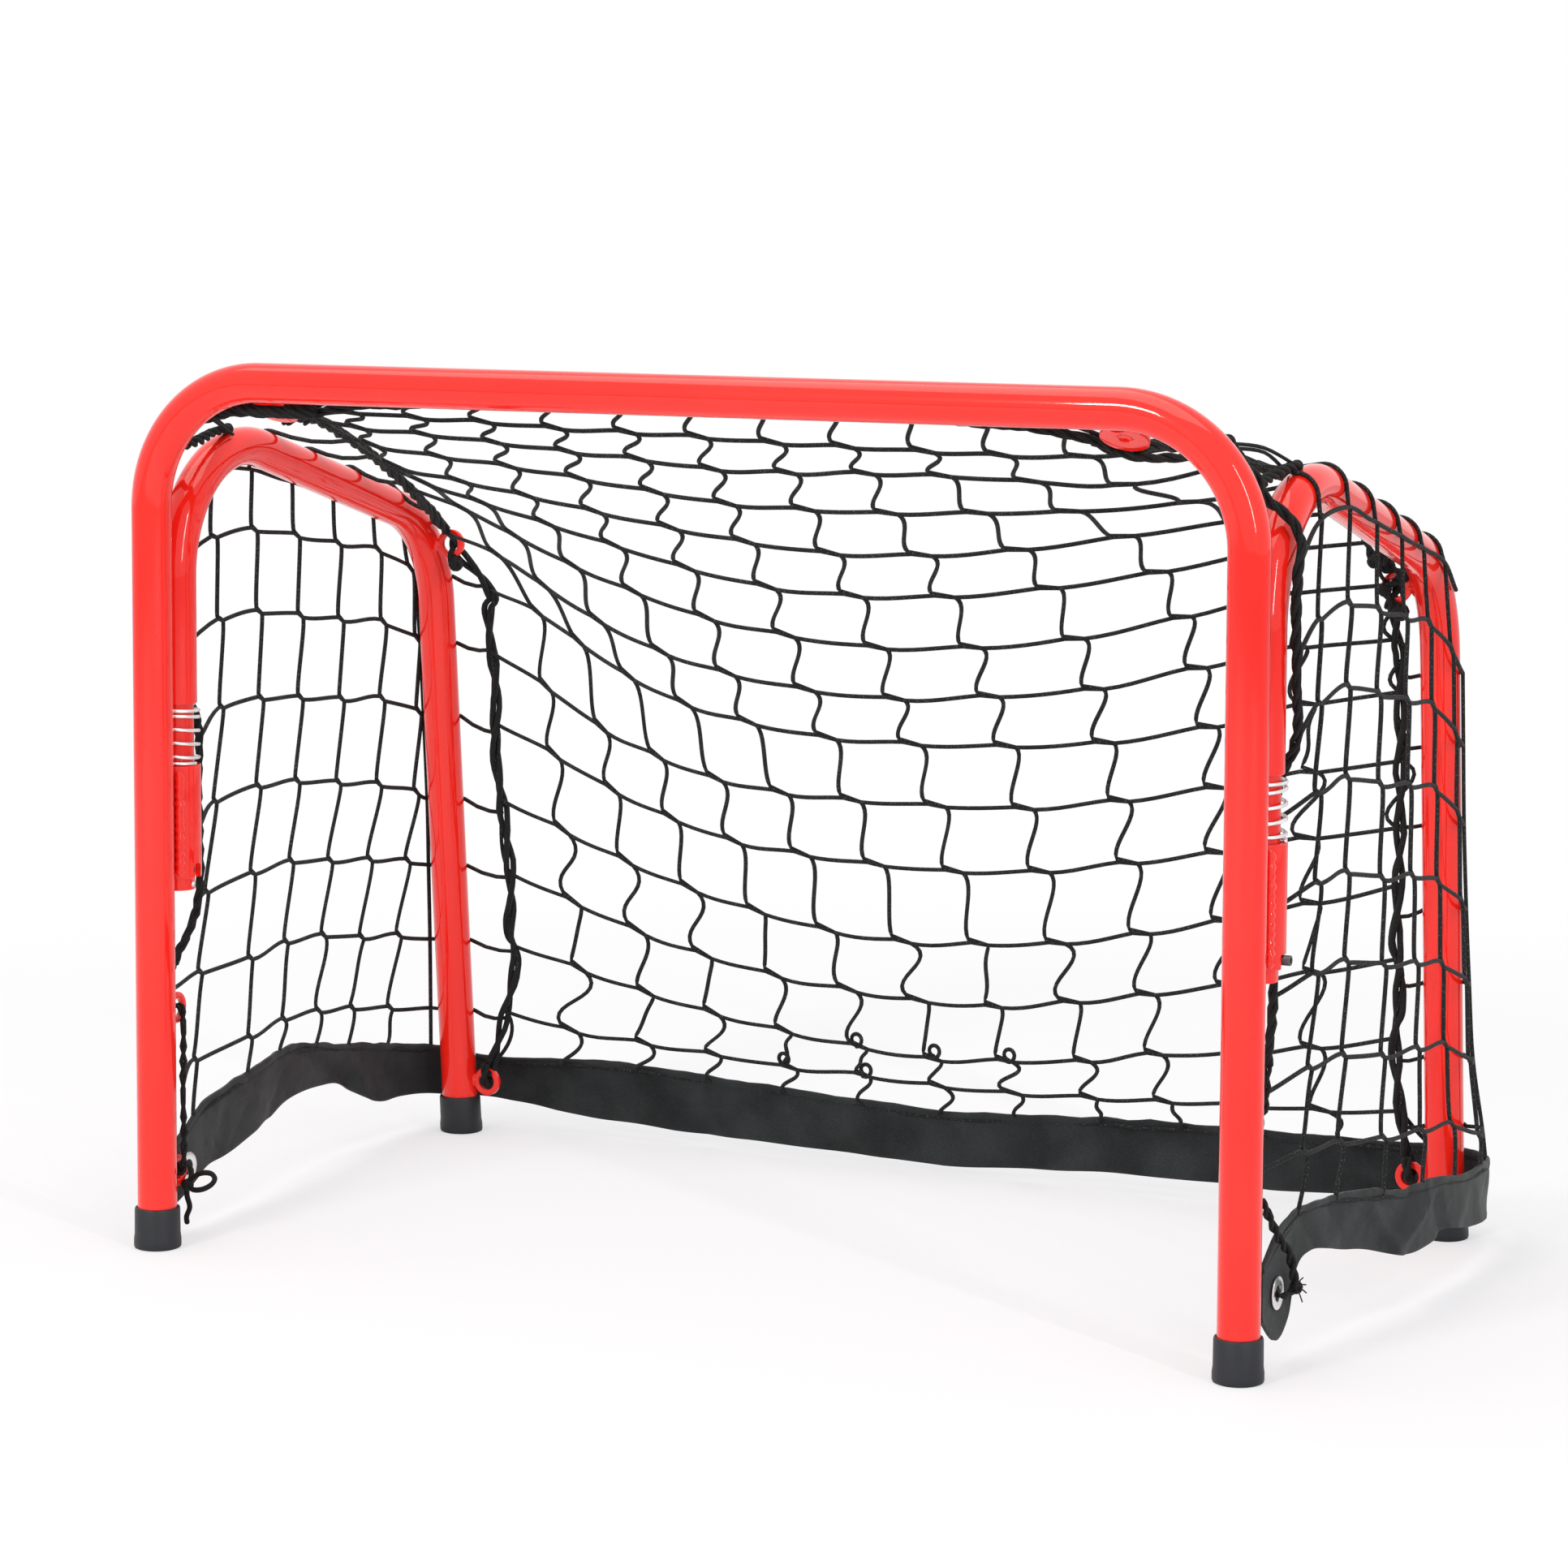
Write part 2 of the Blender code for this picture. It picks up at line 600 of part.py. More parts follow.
def side_frame(side, s):
    x = s * POST_X
    hinge_place = Vector((x, HINGE_Y, SLEEVE_TOP))
    carriage = empty(side + "_fold_axis", hinge_place)
    lift = empty(side + "_release_axis", hinge_place, carriage)
    path = bent_path(side_corners(x), BEND_R, BEND_STEPS)
    node(side + "_side_tube", hollow_tube(path, X, TUBE_R, TUBE_R - TUBE_WALL, TUBE_SIDES), RED_PAINT,
         Vector((x, HINGE_Y, SHOULDER_Z)), lift)
    cap("rear_" + side + "_cap", x, DEPTH, LEG_SPLAY, lift)

    centre = Vector((x, HINGE_Y, 0))
    inner = SPIGOT_R - SPIGOT_WALL
    spigot = node(side + "_hinge_spigot", lathe(
        centre, Z, X, [(inner, SPIGOT_BOTTOM), (SPIGOT_R, SPIGOT_BOTTOM), (SPIGOT_R, SPIGOT_TOP), (inner, SPIGOT_TOP)],
        ROUND_SIDES), DARK_STEEL, centre + Z * SPIGOT_BOTTOM, lift)
    pin_centre = centre + Z * PIN_Z
    hole = (PIN_R + GAP) / math.cos(math.pi / TUBE_SIDES)
    cut_away(spigot, lathe(pin_centre, X, Z, [(hole, -0.012), (hole, 0.012)], TUBE_SIDES, False))
    ends = sorted((-s * SPIGOT_R, s * (SLEEVE_R + PIN_PROUD)))
    bored = PIN_R - 0.0009
    node(side + "_lock_pin", lathe(
        pin_centre, X, Z, [(bored, ends[0]), (PIN_R, ends[0]), (PIN_R, ends[1]), (bored, ends[1])], TUBE_SIDES),
        DARK_STEEL, pin_centre, lift)
    rivet = Vector((x - s * (SPIGOT_R + GAP), HINGE_Y, RIVET_Z))
    node(side + "_spigot_rivet", lathe(rivet, X * -s, Z, [(RIVET_R, 0), (RIVET_R, RIVET_THICK)], 8, False),
         STEEL, rivet, lift)

    middle_of_bend = path[len(path) - 1 - (BEND_STEPS // 2 + 1)][0]
    inside = x - s * EYE_REACH
    high = Vector((inside, middle_of_bend.y - 0.0012, middle_of_bend.z - 0.0010))
    low = Vector((inside, leg_y(REAR_LOW_EYE_Z), REAR_LOW_EYE_Z))
    eye(side + "_rear_high_eye", high, Y, lift)
    eye(side + "_rear_low_eye", low, Y, lift)
    step = EYE_HALF + ROPE_R + 0.0005
    route = [
        high + Vector((0, -step, -0.014)),
        high + Vector((0, -step, -0.001)),
        high + Vector((0, step, 0.001)),
        *[Vector((inside, leg_y(share * high.z) + step, share * high.z)) for share in (0.89, 0.6, 0.3)],
        low + Vector((0, step, 0.001)),
        low + Vector((0, -step, -0.001)),
        low + Vector((0, -step, 0.018)),
    ]
    cord(side + "_rear_rope", route, ROPE_R, NET_CORD, high, lift)

    # Side net, outside the side frame
    outside = s * NET_OUTSIDE
    start = NET_SIDE_START_Y
    top_line = []
    rear_line = []
    arc = [p for p, _ in path]
    for a, b in zip(arc, arc[1:]):
        if a.y <= start < b.y:
            t = (start - a.y) / (b.y - a.y)
            top_line.append(Vector((outside, start, a.z + (b.z - a.z) * t)))
        if start < b.y <= middle_of_bend.y and b.z >= middle_of_bend.z:
            top_line.append(Vector((outside, b.y, b.z)))
        elif b.y > middle_of_bend.y:
            rear_line.append(Vector((outside, b.y, b.z)))
    rear_line = [top_line[-1]] + [p for p in rear_line if p.z > 0.10]
    rear_line += [Vector((outside, leg_y(0.20), 0.20)), Vector((outside + s * 0.0032, leg_y(0.10), 0.10))]
    rear_y = DEPTH + 0.001
    rear_wide, rear_top = skirt_at(rear_y)
    rear_line.append(Vector((s * rear_wide, rear_y, rear_top + NET_ABOVE_SKIRT)))
    front_wide, front_top = skirt_at(start)
    front_line = [top_line[0], Vector((outside, start, 0.15)),
                  Vector((s * front_wide, start, front_top + NET_ABOVE_SKIRT))]
    grid = []
    for i in range(SIDE_ROWS + 1):
        v = i / SIDE_ROWS
        row = []
        for j in range(SIDE_COLUMNS + 1):
            u = j / SIDE_COLUMNS
            y = start + (rear_y - start) * u
            wide, top = skirt_at(y)
            bottom = Vector((s * wide, y, top + NET_ABOVE_SKIRT))
            across = along(top_line, u).lerp(bottom, v)
            down = along(front_line, v).lerp(along(rear_line, v), u)
            corners = top_line[0].lerp(top_line[-1], u).lerp(front_line[-1].lerp(rear_line[-1], u), v)
            row.append(across + down - corners)
        grid.append(row)
    node(side + "_side_net", mesh_net(grid), NET_CORD, Vector((outside, start, 0.2)), lift, smooth=False)

    # Spring between the sleeve and the tube's shoulder: wide turns, then close ones at the top
    low_z = SLEEVE_TOP + GAP + SPRING_WIRE
    high_z = SHOULDER_Z - GAP - SPRING_WIRE
    close = SPRING_CLOSE_TURNS * SPRING_CLOSE_PITCH
    turns = SPRING_WIDE_TURNS + SPRING_CLOSE_TURNS
    steps = round(turns * 8)
    points = []
    for k in range(steps + 1):
        turn = turns * k / steps
        if turn <= SPRING_WIDE_TURNS:
            z = low_z + (high_z - close - low_z) * turn / SPRING_WIDE_TURNS
        else:
            z = high_z - (turns - turn) * SPRING_CLOSE_PITCH
        a = s * 2 * math.pi * turn
        points.append(centre + Vector((SPRING_R * math.cos(a), SPRING_R * math.sin(a), z)))
    lead_in = Vector((0, -s * 2 * SPRING_WIRE, 0))
    end_a = s * 2 * math.pi * turns
    lead_out = Vector((-math.sin(end_a), math.cos(end_a), 0)) * s * 2 * SPRING_WIRE
    points = [points[0] + lead_in] + points + [points[-1] + lead_out]
    cord(side + "_spring", points, SPRING_WIRE, STEEL, hinge_place, carriage, resolution=1)
    gap = least_gap(points, SPRING_WIRE, math.pi * SPRING_R)
    print(side + "_spring least gap to itself, mm:", round(gap * 1000, 2))


for side_name, side_sign in (("left", -1), ("right", 1)):
    side_frame(side_name, side_sign)

total = 0
for item in sorted(bpy.data.objects, key=lambda o: o.name):
    if item.type == "MESH":
        count = sum(len(p.vertices) - 2 for p in item.data.polygons)
        total += count
        print(item.name, count)
print("triangles", total)
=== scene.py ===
"""Mini hockey goal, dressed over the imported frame: smooth tubes, net, cloth skirt, ropes and springs."""
import random
from math import cos, hypot, pi, radians, sin, tan

import bmesh
import bpy
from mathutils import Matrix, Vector, noise


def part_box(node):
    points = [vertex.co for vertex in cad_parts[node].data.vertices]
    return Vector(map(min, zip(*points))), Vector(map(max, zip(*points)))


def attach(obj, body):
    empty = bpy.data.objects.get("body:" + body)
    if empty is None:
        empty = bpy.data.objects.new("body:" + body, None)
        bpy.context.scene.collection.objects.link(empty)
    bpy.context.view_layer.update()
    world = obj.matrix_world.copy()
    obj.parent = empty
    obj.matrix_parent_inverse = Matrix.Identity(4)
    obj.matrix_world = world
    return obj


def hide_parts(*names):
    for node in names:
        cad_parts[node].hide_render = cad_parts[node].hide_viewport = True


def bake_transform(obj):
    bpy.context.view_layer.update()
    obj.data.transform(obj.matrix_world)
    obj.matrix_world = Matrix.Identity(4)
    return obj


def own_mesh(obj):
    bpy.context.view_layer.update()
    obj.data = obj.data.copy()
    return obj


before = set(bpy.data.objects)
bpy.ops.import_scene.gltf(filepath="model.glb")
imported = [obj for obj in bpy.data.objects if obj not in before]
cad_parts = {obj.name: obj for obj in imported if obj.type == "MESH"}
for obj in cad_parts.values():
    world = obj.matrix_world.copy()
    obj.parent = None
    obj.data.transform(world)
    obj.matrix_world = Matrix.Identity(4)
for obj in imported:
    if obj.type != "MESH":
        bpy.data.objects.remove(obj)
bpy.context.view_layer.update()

# Driving sizes, in metres, with the front posts' axes at goal y = 0
TUBE_R = 0.01
BEND_R = 0.063
CAP_R = 0.012
CAP_TOP_R = 0.0115
CAP_HEIGHT = 0.021
SPIGOT_R = 0.0083
SLEEVE_R = 0.0117
PIN_R = 0.0024
PIN_PROUD = 0.003
EYE_R = 0.008
EYE_HOLE_R = 0.0046
EYE_HALF = 0.0014
CORD_R = 0.00115
ROPE_R = 0.0022
SIDE_FALL = 0.288
LEG_SPLAY = 0.0894
GAP = 0.0003
NOTCH_R = 0.0032
BAR_EYE_R = 0.0118
BAR_EYE_HOLE_R = 0.0024
THREAD_PITCH = 0.0011
HEM_DROP = 0.0035
FRONT = "front_frame"


def node_box(name):
    low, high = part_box(name)
    return Vector(low), Vector(high)


def node_centre(name):
    low, high = node_box(name)
    return (low + high) / 2


front_low, front_high = node_box("front_tube")
FRONT_Y = (front_low.y + front_high.y) / 2
POST_X = front_high.x - TUBE_R
BAR_Z = front_high.z - TUBE_R
DEPTH = (node_box("rear_left_cap")[1].y - FRONT_Y) - CAP_R
HINGE_Y = TUBE_R + SLEEVE_R + GAP
SIDE_TOP_Z = BAR_Z - 0.017
SLEEVE_BOTTOM = node_box("left_hinge_sleeve")[0].z
SLEEVE_TOP = node_box("left_hinge_sleeve")[1].z
SHOULDER_Z = SLEEVE_TOP + 0.0315
SPIGOT_BOTTOM = node_box("left_hinge_spigot")[0].z
PIN_Z = node_centre("left_lock_pin").z
EYE_REACH = TUBE_R + GAP + EYE_R
MID_EYE_Z = node_centre("left_post_mid_eye").z
LOW_EYE_Z = node_centre("left_post_low_eye").z
BACK_COLUMNS = 12
NET_START_Y = 0.034
NET_OUTSIDE = POST_X + 0.0118
NET_TOP_Y = 0.0145
SKIRT_Y = DEPTH + 0.0205

X = Vector((1, 0, 0))
Y = Vector((0, 1, 0))
Z = Vector((0, 0, 1))
SIDES = (("left", -1), ("right", 1))
show = bpy.context.scene.collection.objects.link


def at(x, y, z):
    """World place of a point given in goal coordinates."""
    return Vector((x, y + FRONT_Y, z))


def trail(s, *places):
    """World places of points given for the right side, mirrored where s is -1."""
    return [at(s * x, y, z) for x, y, z in places]


# Materials
def settings(node, **values):
    """Values on a node's own sockets, with _ for a space in a socket's name."""
    for name, value in values.items():
        node.inputs[name.replace("_", " ")].default_value = value


def shader_node(tree, kind, **values):
    made = tree.nodes.new("ShaderNode" + kind)
    settings(made, **values)
    return made


def material(name, colour, roughness, metallic=0.0):
    made = bpy.data.materials.new(name)
    made.use_nodes = True
    shader = made.node_tree.nodes["Principled BSDF"]
    settings(shader, Base_Color=(*colour, 1.0), Roughness=roughness, Metallic=metallic)
    return made, made.node_tree, shader


def coordinates(tree):
    return shader_node(tree, "TexCoord").outputs["Object"]


def noise_texture(tree, scale, detail=2.0):
    made = shader_node(tree, "TexNoise", Scale=scale, Detail=detail)
    tree.links.new(coordinates(tree), made.inputs["Vector"])
    return made.outputs["Fac"]


def ramp(tree, source, *stops):
    """A ramp with two stops, each a place and a colour."""
    made = shader_node(tree, "ValToRGB")
    for element, (place, colour) in zip(made.color_ramp.elements, stops):
        element.position = place
        element.color = (*colour, 1.0)
    tree.links.new(source, made.inputs["Fac"])
    return made.outputs["Color"]


def spread(tree, source, low, high):
    made = shader_node(tree, "MapRange", To_Min=low, To_Max=high)
    tree.links.new(source, made.inputs["Value"])
    return made.outputs["Result"]


def calculation(tree, operation, *values):
    """A math node on numbers and on other nodes' outputs."""
    made = shader_node(tree, "Math")
    made.operation = operation
    for socket, value in zip(made.inputs, values):
        if isinstance(value, float):
            socket.default_value = value
        else:
            tree.links.new(value, socket)
    return made.outputs[0]


def bump(tree, shader, source, strength, distance):
    made = shader_node(tree, "Bump", Strength=strength, Distance=distance)
    tree.links.new(source, made.inputs["Height"])
    tree.links.new(made.outputs["Normal"], shader.inputs["Normal"])


def tinted(tree, shader, tone, roughness=None):
    tree.links.new(tone, shader.inputs["Base Color"])
    if roughness is not None:
        tree.links.new(roughness, shader.inputs["Roughness"])


def red_paint(name, strength):
    made, tree, shader = material(name, (0.94, 0.016, 0.008), 0.2)
    tone = ramp(tree, noise_texture(tree, 14), (0.35, (0.92, 0.014, 0.007)), (0.65, (0.96, 0.019, 0.01)))
    tinted(tree, shader, tone, spread(tree, noise_texture(tree, 40), 0.22, 0.3))
    settings(shader, Specular_IOR_Level=0.05, Coat_Weight=0.95, Coat_Roughness=0.05)
    bump(tree, shader, noise_texture(tree, 420), strength, 0.0004)
    return made


def knitted(name, dark, light, scale):
    made, tree, shader = material(name, dark, 0.8)
    cells = shader_node(tree, "TexVoronoi", Scale=scale)
    tree.links.new(coordinates(tree), cells.inputs["Vector"])
    tinted(tree, shader, ramp(tree, cells.outputs["Distance"], (0.12, light), (0.32, dark)))
    settings(shader, Sheen_Weight=0.03, Specular_IOR_Level=0.3)
    bump(tree, shader, cells.outputs["Distance"], 0.6, 0.0004)
    return made


def cloth(name):
    """Crossing threads over soft folds; the colour is mottled with painted sheen, and the same mottling makes
    the lighter places glossier.
    """
    made, tree, shader = material(name, (0.028, 0.037, 0.04), 0.55)
    split = shader_node(tree, "SeparateXYZ")
    tree.links.new(coordinates(tree), split.inputs["Vector"])
    across = calculation(tree, "ADD", split.outputs["X"], split.outputs["Y"])
    phases = [calculation(tree, "MULTIPLY", source, 2 * pi / THREAD_PITCH)
              for source in (across, split.outputs["Z"])]
    threads = [calculation(tree, "SINE", phase) for phase in phases]
    weave = calculation(tree, "MULTIPLY", *threads)
    # Painted sheen: lighter mottling in the colour stands in for sheen on the cloth, and the same noise
    # lowers the roughness there
    painted_sheen_patches = noise_texture(tree, 30, 3)
    tone = ramp(tree, painted_sheen_patches, (0.38, (0.0062, 0.009, 0.0108)), (0.62, (0.02, 0.0258, 0.0282)))
    tinted(tree, shader, tone, spread(tree, painted_sheen_patches, 0.66, 0.36))
    settings(shader, Sheen_Weight=0.04, Specular_IOR_Level=0.32)
    folds = calculation(tree, "PINGPONG", noise_texture(tree, 22, 2), 0.09)
    bump(tree, shader, calculation(tree, "MULTIPLY_ADD", folds, 60.0, weave), 0.85, 0.0003)
    return made


def rubber(name):
    made, tree, shader = material(name, (0.036, 0.044, 0.05), 0.5)
    tone = ramp(tree, noise_texture(tree, 60, 3),
                (0.3, (0.004, 0.0058, 0.0095)), (0.7, (0.0075, 0.0102, 0.0152)))
    tinted(tree, shader, tone, spread(tree, noise_texture(tree, 90), 0.42, 0.58))
    bump(tree, shader, noise_texture(tree, 900), 0.15, 0.0002)
    return made


def steel(name, dark, light, roughness):
    made, tree, shader = material(name, light, roughness, 1.0)
    tone = ramp(tree, noise_texture(tree, 120, 4), (0.3, dark), (0.7, light))
    tinted(tree, shader, tone, spread(tree, noise_texture(tree, 300), roughness - 0.06, roughness + 0.08))
    bump(tree, shader, noise_texture(tree, 700), 0.08, 0.0002)
    return made


RED = red_paint("red_powder_coat", 0.06)
RED_WELD = red_paint("red_over_weld", 0.5)
CORD = knitted("black_net_cord", (0.006, 0.0065, 0.007), (0.085, 0.088, 0.09), 800)
ROPE = knitted("black_rope", (0.004, 0.0045, 0.005), (0.016, 0.017, 0.018), 700)
CLOTH = cloth("skirt_cloth")
THREAD = knitted("skirt_thread", (0.03, 0.036, 0.038), (0.09, 0.098, 0.1), 1500)
RUBBER = rubber("foot_rubber")
BRIGHT = steel("bright_steel", (0.72, 0.72, 0.72), (0.92, 0.92, 0.91), 0.3)
DARK_STEEL = steel("dark_steel", (0.1, 0.1, 0.11), (0.22, 0.22, 0.23), 0.36)


# Mesh helpers
def piece(name, vertices, faces, looks, smooth_angle=40):
    mesh = bpy.data.meshes.new(name)
    mesh.from_pydata([tuple(v) for v in vertices], [], faces)
    work = bmesh.new()
    work.from_mesh(mesh)
    bmesh.ops.recalc_face_normals(work, faces=work.faces)
    limit = radians(smooth_angle)
    for edge in work.edges:
        if len(edge.link_faces) == 2:
            edge.smooth = edge.calc_face_angle(0.0) < limit
    work.to_mesh(mesh)
    work.free()
    for face in mesh.polygons:
        face.use_smooth = True
    mesh.materials.append(looks)
    made = bpy.data.objects.new(name, mesh)
    show(made)
    return made


def joined(shapes):
    vertices = []
    faces = []
    for shape_vertices, shape_faces in shapes:
        start = len(vertices)
        vertices += list(shape_vertices)
        faces += [tuple(index + start for index in face) for face in shape_faces]
    return vertices, faces


def skin(rows, closed=False, caps=True):
    vertices = [point for row in rows for point in row]
    sides = len(rows[0])
    faces = []
    for k in range(len(rows) if closed else len(rows) - 1):
        here = k * sides
        there = ((k + 1) % len(rows)) * sides
        for j in range(sides):
            n = (j + 1) % sides
            faces.append((here + j, here + n, there + n, there + j))
    if caps and not closed:
        faces.append(tuple(range(sides)))
        faces.append(tuple(range(len(vertices) - sides, len(vertices))))
    return vertices, faces


def circle(centre, axis, reference, radius, sides):
    across = axis.cross(reference).normalized()
    up = across.cross(axis).normalized()
    step = 2 * pi / sides
    return [centre + (up * cos(k * step) + across * sin(k * step)) * radius for k in range(sides)]


def lathe(centre, axis, profile, sides, closed=True):
    reference = Z if abs(axis.z) < 0.5 else X
    rows = [circle(centre + axis * height, axis, reference, radius, sides) for radius, height in profile]
    return skin(rows, closed=closed)


def rounded(points, radius, steps=3):
    """A closed profile of (radius, height) with its corners rounded."""
    out = []
    count = len(points)
    for k in range(count):
        corner = Vector(points[k])
        before = (Vector(points[k - 1]) - corner).normalized()
        after = (Vector(points[(k + 1) % count]) - corner).normalized()
        for j in range(steps + 1):
            t = j / steps
            a, b = corner + before * radius, corner + after * radius
            out.append(tuple(a * (1 - t) ** 2 + corner * 2 * t * (1 - t) + b * t ** 2))
    return out


def hoop(inner, outer, low, high, radius, steps=3):
    """A ring's square profile with its corners rounded."""
    return rounded([(inner, low), (outer, low), (outer, high), (inner, high)], radius, steps)


def tube(points, radius, sides=8, taper=0.0):
    """A round tube along points, with frames carried along it without twist; radius may be a list."""
    points = [Vector(p) for p in points]
    count = len(points)
    radii = radius if isinstance(radius, (list, tuple)) else [radius] * count
    tangents = []
    for k in range(count):
        tangents.append((points[min(k + 1, count - 1)] - points[max(k - 1, 0)]).normalized())
    side = tangents[0].orthogonal().normalized()
    rows = []
    for k in range(count):
        side = (side - tangents[k] * side.dot(tangents[k])).normalized()
        rows.append(circle(points[k], tangents[k], side, radii[k], sides))
    if taper > 0:
        first, last = radii[0] * taper, radii[-1] * taper
        rows.insert(0, circle(points[0] - tangents[0] * first, tangents[0], side, radii[0] * 0.5, sides))
        rows.append(circle(points[-1] + tangents[-1] * last, tangents[-1], side, radii[-1] * 0.5, sides))
    return skin(rows)


def eased(points, steps):
    """A smooth run through points, with steps pieces between neighbours."""
    points = [Vector(p) for p in points]
    out = []
    for k in range(len(points) - 1):
        a = points[max(k - 1, 0)]
        b, c = points[k], points[k + 1]
        d = points[min(k + 2, len(points) - 1)]
        for j in range(steps):
            t = j / steps
            out.append(0.5 * (2 * b + (c - a) * t + (2 * a - 5 * b + 4 * c - d) * t ** 2
                              + (3 * b - a - 3 * c + d) * t ** 3))
    out.append(points[-1])
    return out


def along(points, share):
    lengths = [(b - a).length for a, b in zip(points, points[1:])]
    left = share * sum(lengths)
    for length, a, b in zip(lengths, points, points[1:]):
        if left <= length:
            return a.lerp(b, left / length)
        left -= length
    return points[-1].copy()


def bent_path(corners, radius, steps):
    """Points and tangents of a tube bent at each inner corner."""
    path = [(corners[0], (corners[1] - corners[0]).normalized())]
    for before_point, corner, after_point in zip(corners, corners[1:], corners[2:]):
        before = (corner - before_point).normalized()
        after = (after_point - corner).normalized()
        turn = before.angle(after)
        start = corner - before * radius * tan(turn / 2)
        inward = (after - before * before.dot(after)).normalized()
        centre = start + inward * radius
        for k in range(steps + 1):
            a = turn * k / steps
            point = centre - inward * radius * cos(a) + before * radius * sin(a)
            path.append((point, before * cos(a) + inward * sin(a)))
    path.append((corners[-1], (corners[-1] - corners[-2]).normalized()))
    return path


def carried(made, body, *nodes):
    """Ride a piece on a body, in place of the CAD nodes named."""
    if nodes:
        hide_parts(*nodes)
    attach(made, body)


def fixed(name, shape, looks, body, *nodes, smooth_angle=40):
    """Make a piece and carry it."""
    carried(piece(name, *shape, looks, smooth_angle), body, *nodes)


# Camera at the photograph's place
camera_data = bpy.data.cameras.new("camera")
camera_data.lens = 105.68
camera_data.sensor_width = 36.0
camera_data.shift_y = -0.12
camera_data.clip_start = 0.05
camera = bpy.data.objects.new("camera", camera_data)
camera.location = at(0.9801, -1.9361, 0.5536)
camera.rotation_euler = (radians(84.514), radians(-0.268), radians(25.441))
show(camera)
bpy.context.scene.camera = camera

# Frame tubes
TUBE_SIDES = 48
BEND_STEPS = 28
FOOT_Z = 0.0033


def tube_shape(path, reference):
    rows = [circle(point, tangent, reference, TUBE_R, TUBE_SIDES) for point, tangent in path]
    return skin(rows)


front_path = bent_path(
    [at(-POST_X, 0, FOOT_Z), at(-POST_X, 0, BAR_Z), at(POST_X, 0, BAR_Z), at(POST_X, 0, FOOT_Z)],
    BEND_R, BEND_STEPS)
fixed("front_tube_smooth", tube_shape(front_path, Y), RED, FRONT, "front_tube")


def leg_y(z):
    return DEPTH - LEG_SPLAY * z


def side_path(x):
    rear_z = (SIDE_TOP_Z - SIDE_FALL * (DEPTH - HINGE_Y)) / (1 - SIDE_FALL * LEG_SPLAY)
    corners = [at(x, HINGE_Y, SHOULDER_Z), at(x, HINGE_Y, SIDE_TOP_Z),
               at(x, leg_y(rear_z), rear_z), at(x, leg_y(FOOT_Z), FOOT_Z)]
    return bent_path(corners, BEND_R, BEND_STEPS)


def cap_shape(x, y, splay):
    rows = []
    profile = [(CAP_R - 0.0012, 0.0), (CAP_R - 0.0003, 0.0004), (CAP_R, 0.0014), (CAP_R, 0.0045),
               (CAP_TOP_R + 0.0001, 0.0075), (CAP_TOP_R, CAP_HEIGHT - 0.0012),
               (CAP_TOP_R - 0.0003, CAP_HEIGHT - 0.0003), (CAP_TOP_R - 0.0009, CAP_HEIGHT),
               (TUBE_R + 0.0001, CAP_HEIGHT - 0.0004), (TUBE_R, CAP_HEIGHT - 0.004)]
    for radius, height in profile:
        rows.append(circle(at(x, y - splay * height, height), Z, X, radius, 48))
    return skin(rows)


def eye_shape(centre, normal, towards, outer=EYE_R, hole=EYE_HOLE_R):
    """A flat welded ring with rounded edges and a small fillet of weld towards its tube."""
    ring = lathe(centre, normal, hoop(hole, outer, -EYE_HALF, EYE_HALF, 0.0006), 40)
    across = normal.cross(towards).normalized()
    rows = []
    for share, half in ((0.8, 0.0018), (0.95, 0.0026), (1.08, 0.0038), (1.22, 0.005)):
        middle = centre + towards * EYE_R * share
        rows.append([middle + across * half * cos(a) + normal * (0.0009 + half * 0.35) * sin(a)
                     for a in [2 * pi * k / 12 for k in range(12)]])
    return joined([ring, skin(rows)])


def boolean_cut(made, cutters):
    for shape in cutters:
        cutter = piece("cutter", *shape, RED, 1)
        change = made.modifiers.new("cut", "BOOLEAN")
        change.operation = "DIFFERENCE"
        change.solver = "EXACT"
        change.object = cutter
        bpy.context.view_layer.update()
        cut = bpy.data.meshes.new_from_object(made.evaluated_get(bpy.context.evaluated_depsgraph_get()))
        made.modifiers.clear()
        made.data = cut
        bpy.data.objects.remove(cutter, do_unlink=True)
    while len(made.data.materials) > 1:
        made.data.materials.pop()
    work = bmesh.new()
    work.from_mesh(made.data)
    for edge in work.edges:
        edge.smooth = len(edge.link_faces) == 2 and edge.calc_face_angle(0.0) < radians(35)
    work.to_mesh(made.data)
    work.free()


